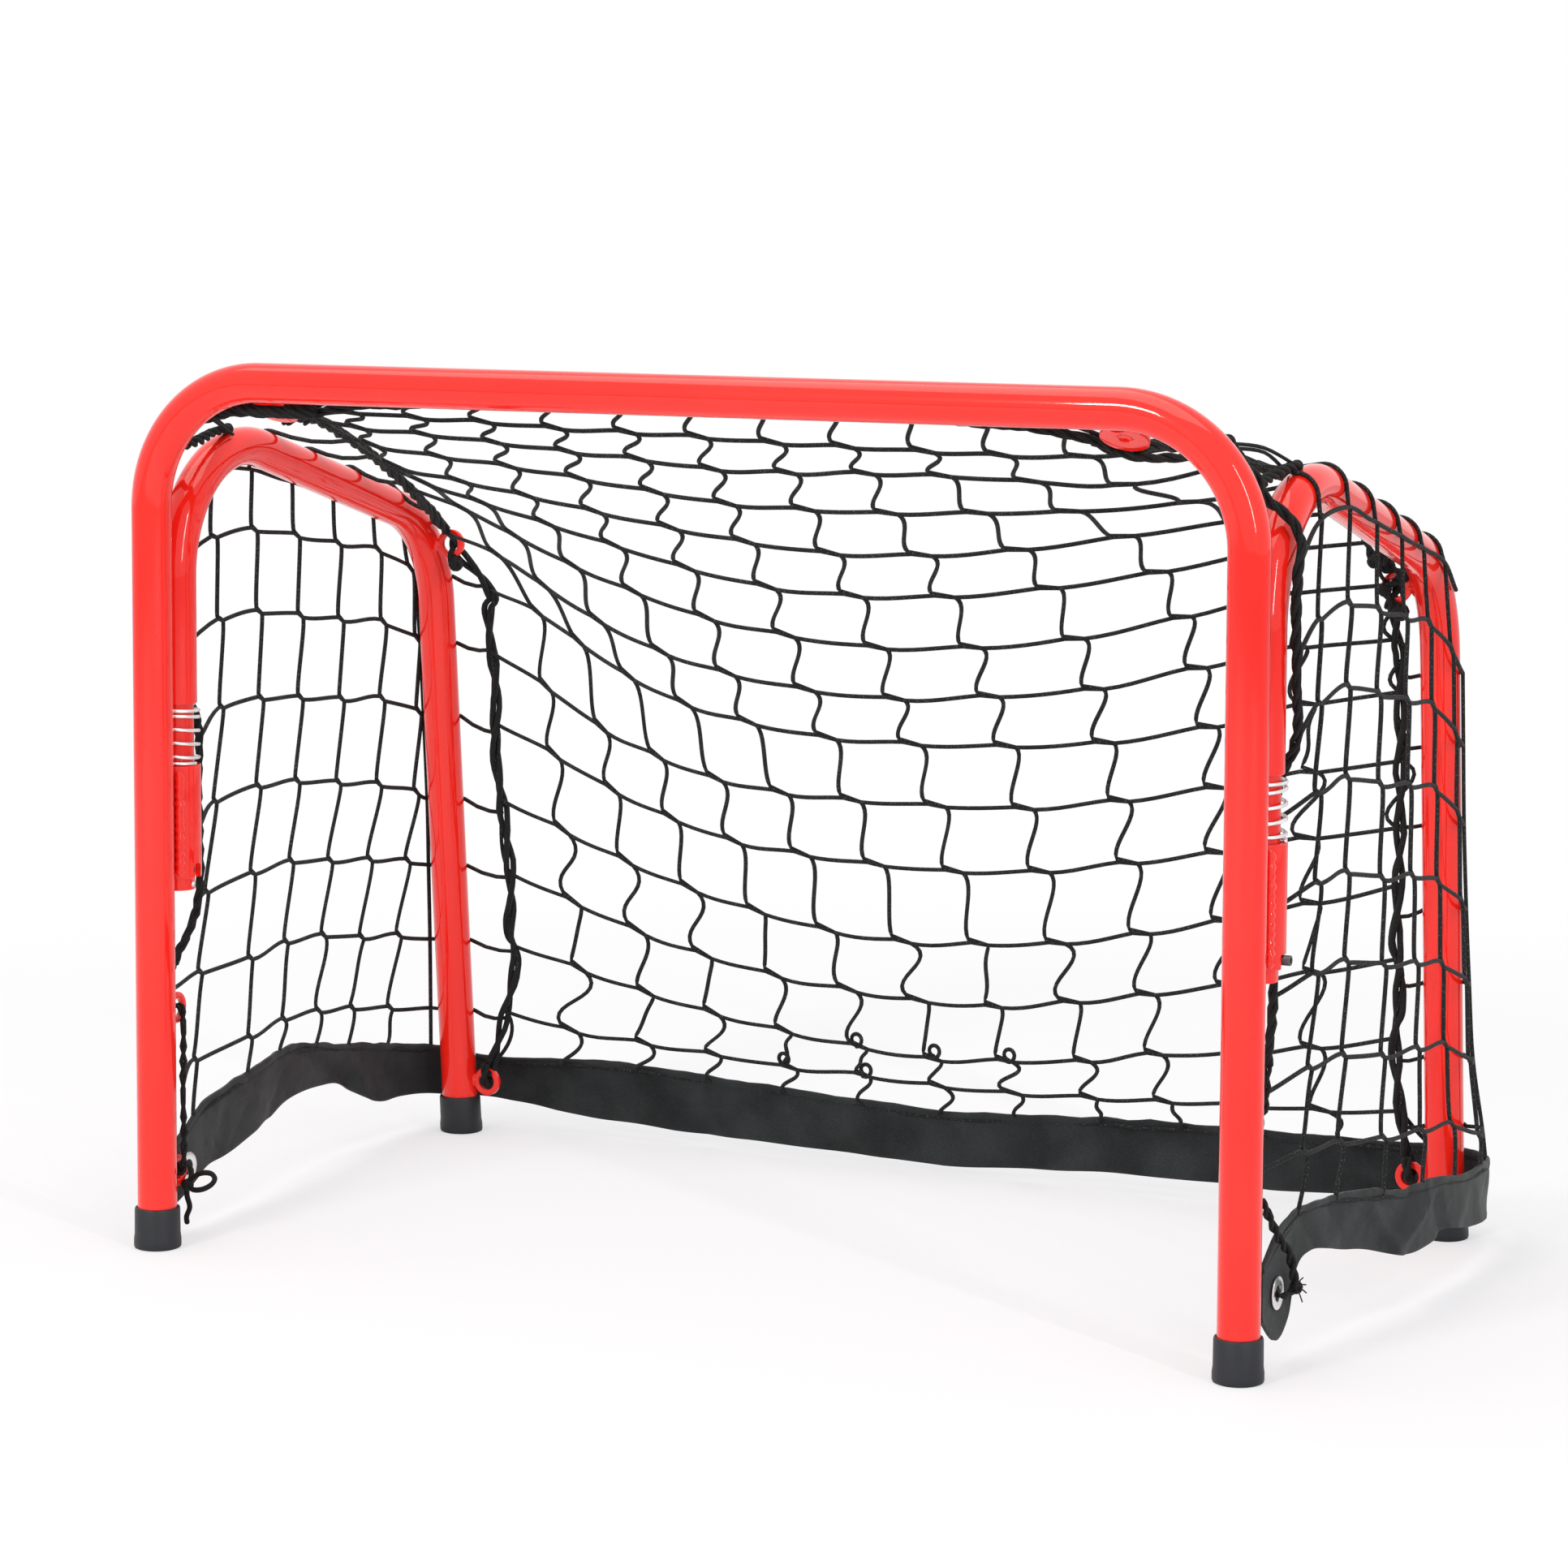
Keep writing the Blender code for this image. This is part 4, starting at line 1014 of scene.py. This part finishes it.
# Creases pressed into the skirt: run from the front end, lean with height, depth and half width
SKIRT_CREASES = {
    -1: ((0.06, 0.03, 0.001, 0.012), (0.098, -0.04, -0.0009, 0.01), (0.14, 0.055, 0.0012, 0.014),
         (0.196, -0.06, 0.0034, 0.02), (0.226, -0.03, -0.0022, 0.012), (0.262, 0.03, 0.0012, 0.012),
         (0.33, -0.02, 0.0014, 0.01), (0.398, 0.035, -0.0012, 0.014), (0.452, -0.045, 0.0026, 0.016),
         (0.5, 0.05, 0.0014, 0.02), (0.566, -0.03, -0.0014, 0.016), (0.61, 0.04, 0.0012, 0.018)),
    1: ((0.022, 0.012, 0.003, 0.01), (0.05, -0.025, -0.0012, 0.009), (0.094, 0.045, 0.0012, 0.016),
        (0.128, -0.035, 0.0016, 0.012), (0.168, 0.06, 0.0034, 0.018), (0.196, -0.015, -0.0022, 0.01),
        (0.236, 0.03, 0.0012, 0.012), (0.3, -0.02, 0.0012, 0.012), (0.36, 0.05, 0.0026, 0.014),
        (0.404, -0.05, -0.0014, 0.018), (0.47, 0.02, 0.0014, 0.016), (0.54, -0.055, 0.0018, 0.018)),
}


def crease(run, height, s):
    """How far the cloth stands out at a place, folded sharply along each crease."""
    out = 0.0
    for start, lean, depth, half in SKIRT_CREASES[s]:
        away = abs(run - start - lean * (height - 0.5))
        out += depth * max(0.0, 1.0 - away / half)
    return out


def skirt_piece(side, s):
    """One half of the skirt: a hemmed band with gathers, and its line of stitches."""
    plan = SKIRT_HALVES[s]
    rows, outer = [], []
    run_length = 0.0
    heights = [0.0, 0.04, 0.1, 0.2, 0.32, 0.44, 0.56, 0.68, 0.78, 0.86, 0.9, 0.96, 1.0]
    thick = [0.0008, 0.001, 0.0007] + [0.0006] * 6 + [0.0005, 0.0011, 0.0012, 0.0007]
    seam = heights.index(0.86)
    for k, (px, py, low, high) in enumerate(plan):
        before, after = plan[max(k - 1, 0)], plan[min(k + 1, len(plan) - 1)]
        run = Vector((s * (after[0] - before[0]), after[1] - before[1], 0)).normalized()
        out = Vector((run.y, -run.x, 0)) * s
        if k:
            run_length += hypot(px - plan[k - 1][0], py - plan[k - 1][1])
        edge_fade = min(1.0, run_length / 0.05) * min(1.0, (len(plan) - 1 - k) / 8)
        wave_top = 0.0016 * noise.noise(Vector((run_length * 28, s * 3, 2)))
        wave_top += 0.0011 * noise.noise(Vector((run_length * 75, s * 3, 0)))
        wave_low = 0.0016 * noise.noise(Vector((run_length * 22, s * 7, 4)))
        inner_side, outer_side = [], []
        for h, t in zip(heights, thick):
            z = low + (high - low) * h
            z += (wave_top * h * h + wave_low * (1 - h)) * edge_fade
            pucker = 0.0013 * noise.noise(Vector((run_length * 24, h * 1.6, s * 11)))
            pucker += 0.0006 * noise.noise(Vector((run_length * 90, h * 3.0, s * 5))) * h
            pucker += crease(run_length, h, s) * (1.0 - 0.7 * h ** 4)
            pucker *= min(1.0, max(0.0, run_length - 0.03) / 0.02)
            middle = at(s * px, py, z) + out * pucker * edge_fade
            outer_side.append(middle + out * t)
            inner_side.append(middle - out * t)
        rows.append(outer_side + inner_side[::-1])
        outer.append((outer_side, inner_side, out))
    band = piece(f"{side}_skirt", *skin(rows), CLOTH, 22)
    if s < 0:
        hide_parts("skirt")
    stitches = []
    for index in range(1, len(outer) - 1):
        for face, sign in ((0, 1), (1, -1)):
            a = outer[index][face][seam] + outer[index][2] * sign * 0.0001
            b = outer[index + 1][face][seam] + outer[index + 1][2] * sign * 0.0001
            gap = (b - a).length
            parts = max(1, round(gap / 0.003))
            for k in range(parts):
                first, last = a.lerp(b, (k + 0.15) / parts), a.lerp(b, (k + 0.8) / parts)
                stitches.append(tube([first, last], 0.00024, 4))
    thread = piece(f"{side}_skirt_stitches", *joined(stitches), THREAD, 80)
    fold_with(band)
    fold_with(thread)


for side_name, side_sign in SIDES:
    net_half(side_name, side_sign)
    skirt_piece(side_name, side_sign)


# Ropes
def twisted(points, strands, strand_r, turn_r, pitch, sides=7, rough=0.0, seed=1):
    """Strands wound about a path; rough moves them unevenly, as in a gathered bundle."""
    points = eased(points, 6)
    shapes = []
    for n in range(strands):
        run = 0.0
        side = None
        line = []
        for k, point in enumerate(points):
            tangent = (points[min(k + 1, len(points) - 1)] - points[max(k - 1, 0)]).normalized()
            side = tangent.orthogonal() if side is None else side - tangent * side.dot(tangent)
            side.normalize()
            across = tangent.cross(side)
            if k:
                run += (point - points[k - 1]).length
            a = 2 * pi * (run / pitch + n / strands)
            reach = turn_r * (1 + rough * noise.noise(Vector((run * 90, n * 7.3, seed))))
            line.append(point + (side * cos(a) + across * sin(a)) * reach)
        shapes.append(tube(line, strand_r, sides, 0.5))
    return joined(shapes)


def wavy(points, reach, spacing, seed):
    """A path's points moved sideways by a gentle wave."""
    out = []
    run = 0.0
    line = eased(points, 5)
    for k, point in enumerate(line):
        if k:
            run += (point - line[k - 1]).length
        fade = sin(pi * k / (len(line) - 1)) ** 0.5
        move = Vector([noise.noise(Vector((run / spacing, seed, turn))) for turn in (0, 9)] + [0])
        out.append(point + move * reach * fade)
    return out[::3] + [out[-1]]


def ball(centre, radius, cord_r):
    """A knot: a few tight turns wound in different directions."""
    shapes = []
    for axis in ((1, 0.2, 0.3), (0.2, 1, -0.4), (-0.3, 0.4, 1), (0.7, -0.6, 0.4)):
        axis = Vector(axis)
        points = circle(centre, axis.normalized(), axis.orthogonal().normalized(), radius, 18)
        shapes.append(tube(points + points[:2], cord_r, 8))
    return joined(shapes)


def corner_tie(s):
    """A knot with two short ends, and cords drawn across to a ball on the side frame's bend."""
    knot, *tips = trail(s, (0.2742, 0.013, 0.4257), (0.27, 0.0125, 0.429), (0.279, 0.014, 0.418))
    far_end = TIE_END * Vector((s, 1, 1))
    parts = [ball(knot, 0.0024, 0.0014)]
    for tip in tips:
        parts.append(tube([knot, knot.lerp(tip, 0.6), tip], 0.0017, 8, 0.7))
    for drop, shift in ((0.0, 0.0), (0.002, 0.0045)):
        taut = trail(s, (0.2754, 0.014, 0.425 - drop), (0.282, 0.04, 0.4218 - drop))
        parts.append(tube(eased(taut + [far_end - Vector((s, 0.5, 0.6)) * shift], 5), 0.0009, 8, 0.5))
    parts.append(ball(far_end, 0.002, 0.0011))
    across = [far_end] + trail(s, (0.2866, 0.051, 0.411), (0.2852, 0.038, 0.4085), (0.285, 0.028, 0.407),
                               (0.2862, 0.019, 0.4055))
    return joined(parts + [twisted(across, 3, 0.0013, 0.0016, 0.02, 7, 0.4, s)])


def corner_rope(s):
    """Gathered rope from the crossbar eye along under the bend to the corner tie."""
    if s > 0:
        path = trail(1, (0.205, 0.0235, 0.4235), (0.215, 0.0245, 0.4195), (0.2256, 0.0245, 0.4168),
                     (0.2432, 0.0225, 0.417), (0.26, 0.0175, 0.419), (0.277, 0.0135, 0.4225))
        return twisted(path, 3, 0.0012, 0.0013, 0.034, 6, 0.5, s + 9)
    path = trail(-1, (0.202, 0.012, 0.4268), (0.213, 0.009, 0.4262), (0.2298, 0.0082, 0.4262),
                 (0.2486, 0.0092, 0.4262), (0.264, 0.0118, 0.4228), (0.277, 0.0135, 0.419))
    return twisted(path, 6, 0.0015, 0.0027, 0.034, 6, 0.5, s + 9)


def rear_lace(side, s):
    """A double lace down the inside of the rear leg, knotted at both eyes."""
    step = EYE_HALF + ROPE_R + 0.0004
    high, low = node_centre(f"{side}_rear_high_eye"), node_centre(f"{side}_rear_low_eye")
    path = wavy([p * Vector((s, 1, 1)) for p in edge_down(s)], 0.0022, 0.045, s * 3)
    parts = [twisted(path, 2, 0.0017, 0.0019, 0.06, 8, 0.5, s + 6)]
    knots = [(-0.004, -0.002, -0.011, 0.0028)]
    if s > 0:
        tangle = [(-0.016, -0.004, 0.026), (-0.0113, -0.002, 0.013), (-0.004, -0.0035, 0.011),
                  (0.004, -0.003, 0.006), (-0.005, -0.004, -0.001), (0.003, -0.003, -0.012)]
        parts.append(twisted([high + Vector(move) for move in tangle], 2, 0.0013, 0.0013, 0.02, 7, 0.3, 8))
        knots = [(*move, size) for move, size in zip(tangle[1:], (0.0026, 0.0028, 0.0022, 0.0024, 0.0034))]
    for dx, dy, dz, size in knots:
        parts.append(ball(high + Vector((s * dx, dy, dz)), size, 0.0014))
    through_high = [(0.0, step, 0.002), (0.001, 0.0, -0.004), (0.003, -step, -0.01)]
    through_low = [(0.001, -step, 0.01), (0.0, -step, 0.001), (0.0, 0.0, -0.002), (0.0, step, 0.002),
                   (0.001, 0.001, 0.012)]
    for spot, moves, away, strand in ((high, through_high, 0.0015, 0.0014),
                                      (low, through_low, 0.0014, 0.0012)):
        points = [spot + Vector((-s * x, y, z)) for x, y, z in moves]
        parts.append(twisted(points, 2, away, strand, 0.02))
    return joined(parts)


def rope(name, shape, body, *nodes):
    fixed(name, shape, ROPE, body, *nodes, smooth_angle=80)


def rope_pieces(side, s):
    route = lace_route(s)
    split = 15
    lace = joined([twisted(route[:split + 1], 3, 0.0013, 0.0014, 0.03, 7, 0.6, s + 4),
                   twisted(route[split:], 2, 0.0011, 0.0011, 0.018, 7, 0.3, s + 4)])
    rope(f"{side}_front_lace", lace, FRONT, f"{side}_front_rope")
    rope(f"{side}_corner_tie", corner_tie(s), FRONT)
    rope(f"{side}_corner_rope", corner_rope(s), FRONT)
    # Edge rope drawn from the crossbar eye to the upper rear eye
    path = [p * Vector((s, 1, 1)) for p in edge_top(s)]
    edge_rope = piece(f"{side}_edge_rope", *twisted(path, 4, 0.0013, 0.0019, 0.05, 7, 0.4, s + 5), ROPE, 80)
    fold_with(edge_rope)
    rope(f"{side}_rear_lace", rear_lace(side, s), f"{side}_side", f"{side}_rear_rope")


def crossbar_lace():
    bar_rope_y = TUBE_R + 0.0028
    half = trail(1, (0.215, 0.024, 0.42), (0.2077, 0.019, 0.424), (0.1918, 0.014, 0.4275),
                 (0.1758, 0.0125, 0.43), (0.15, 0.0122, 0.431), (0.1, bar_rope_y, BAR_Z - 0.005),
                 (0.05, bar_rope_y, BAR_Z - 0.004))
    return twisted(half + [Vector((-p.x, p.y, p.z)) for p in half[::-1]], 4, 0.0011, 0.0015, 0.04, 6, 0.5, 3)


def left_bow():
    """A bow through the left grommet and the post's low eye, with one loop and a tail."""
    knot, *loop = trail(-1, (0.2858, 0.0215, 0.028), (0.2832, 0.0225, 0.0318), (0.2785, 0.0232, 0.0344),
                        (0.273, 0.0232, 0.0348), (0.2704, 0.023, 0.0325), (0.2722, 0.0226, 0.0292),
                        (0.2772, 0.022, 0.0264), (0.2825, 0.0215, 0.0258))
    tail = trail(-1, (0.2875, 0.0235, 0.022), (0.2862, 0.024, 0.016), (0.2878, 0.0235, 0.011),
                 (0.2872, 0.023, 0.0078))
    spot = node_centre("left_skirt_grommet")
    through = [at(-0.2872, 0.027, 0.031), spot + Vector((0.004, -0.002, 0.0)), spot - Vector((0.004, 0, 0)),
               spot + Vector((-0.0045, -0.003, -0.0045)), spot + Vector((-0.004, -0.009, -0.0055))]
    parts = [tube(eased([knot] + line, 6), 0.0014, 8, 0.6) for line in (loop + [knot], tail, through)]
    return joined(parts + [ball(knot, 0.0021, 0.0012)])


def right_tie():
    """A doubled cord from the right post's low eye to a knot with frayed ends, and through the grommet."""
    fall = trail(1, (0.295, 0.013, 0.081), (0.2962, 0.016, 0.0772), (0.299, 0.0266, 0.0618),
                 (0.3012, 0.0358, 0.0525), (0.3022, 0.0403, 0.0402), (0.302, 0.0439, 0.0352))
    knot = fall[-1]
    spot = node_centre("right_skirt_grommet")
    through = [knot, spot + Vector((0.0052, 0.005, -0.001)), spot + Vector((0.004, 0.0, -0.001)),
               spot - Vector((0.0035, 0.0, 0.0)), spot + Vector((-0.0035, -0.009, 0.0)),
               spot + Vector((-0.0045, -0.015, 0.001))]
    parts = [twisted(fall, 2, 0.0012, 0.0012, 0.016, 8, 0.3, 3),
             twisted(through, 2, 0.0009, 0.0009, 0.014, 8), ball(knot, 0.0021, 0.0012)]
    for end in trail(1, (0.303, 0.0506, 0.0383), (0.303, 0.0556, 0.03), (0.3036, 0.053, 0.0345),
                     (0.303, 0.05, 0.027)):
        parts.append(tube([knot, knot.lerp(end, 0.6) + Z * 0.0006, end], 0.00035, 6, 0.5))
    return joined(parts)


rope("crossbar_lace", crossbar_lace(), FRONT, "crossbar_rope")
for side_name, side_sign in SIDES:
    rope_pieces(side_name, side_sign)
rope("left_tie", left_bow(), FRONT, "left_skirt_tie")
rope("right_tie", right_tie(), FRONT, "right_skirt_tie")

# Floor, light and background
floor_mesh = bpy.data.meshes.new("floor")
reach = 6.0
floor_mesh.from_pydata([(-reach, -reach, 0), (reach, -reach, 0), (reach, reach, 0), (-reach, reach, 0)], [],
                       [(0, 1, 2, 3)])
floor = bpy.data.objects.new("floor", floor_mesh)
floor_look, tree, shader = material("pale_floor", (0.9, 0.9, 0.92), 0.9)
settings(shader, Specular_IOR_Level=0.0, Emission_Color=(1.0, 1.0, 1.0, 1.0))
from_camera = shader_node(tree, "LightPath").outputs["Is Camera Ray"]
distance = shader_node(tree, "VectorMath")
distance.operation = "LENGTH"
tree.links.new(coordinates(tree), distance.inputs[0])
fade = shader_node(tree, "MapRange", From_Min=0.45, From_Max=1.2)
fade.interpolation_type = "SMOOTHSTEP"
tree.links.new(distance.outputs["Value"], fade.inputs["Value"])
tone = ramp(tree, fade.outputs["Result"], (0.0, (0.42, 0.42, 0.44)), (1.0, (0.0, 0.0, 0.0)))
mix = shader_node(tree, "Mix")
mix.data_type = "RGBA"
settings(mix, A=(0.9, 0.9, 0.92, 1.0))
tree.links.new(from_camera, mix.inputs["Factor"])
tree.links.new(tone, mix.inputs["B"])
tree.links.new(mix.outputs["Result"], shader.inputs["Base Color"])
lift = calculation(tree, "MULTIPLY", from_camera, spread(tree, fade.outputs["Result"], 0.52, 1.0))
tree.links.new(lift, shader.inputs["Emission Strength"])
floor_mesh.materials.append(floor_look)
show(floor)

world = bpy.data.worlds.new("studio")
bpy.context.scene.world = world
world.use_nodes = True
tree = world.node_tree
tree.nodes.clear()
seen = shader_node(tree, "Background", Color=(1.0, 1.0, 1.0, 1.0), Strength=1.0)
lit = shader_node(tree, "Background", Color=(0.97, 0.98, 1.0, 1.0), Strength=0.62)
rays = shader_node(tree, "LightPath").outputs
mirrored = calculation(tree, "MAXIMUM", rays["Is Camera Ray"], rays["Is Glossy Ray"])
mix = shader_node(tree, "MixShader")
for socket, source in zip(mix.inputs, (mirrored, lit.outputs[0], seen.outputs[0])):
    tree.links.new(source, socket)
world_out = shader_node(tree, "OutputWorld")
tree.links.new(mix.outputs[0], world_out.inputs["Surface"])


def soft_light(name, place, target, width, height, power, colour):
    data = bpy.data.lights.new(name, "AREA")
    data.shape = "RECTANGLE"
    data.size = width
    data.size_y = height
    data.energy = power
    data.color = colour
    lamp = bpy.data.objects.new(name, data)
    lamp.location = place
    lamp.rotation_euler = (Vector(target) - Vector(place)).to_track_quat("-Z", "Y").to_euler()
    show(lamp)


soft_light("overhead_softbox", (-0.2, -0.3, 2.6), (0, 0, 0.2), 2.8, 2.0, 34, (1.0, 0.95, 0.88))
soft_light("front_key", (-0.62, -2.8, 1.55), (0, 0, 0.25), 0.55, 0.4, 30, (1.0, 0.95, 0.86))
soft_light("right_strip", (2.6, -1.6, 1.5), (0, 0, 0.25), 0.08, 1.8, 22, (1.0, 0.98, 0.94))

bpy.context.scene.view_settings.view_transform = "Standard"
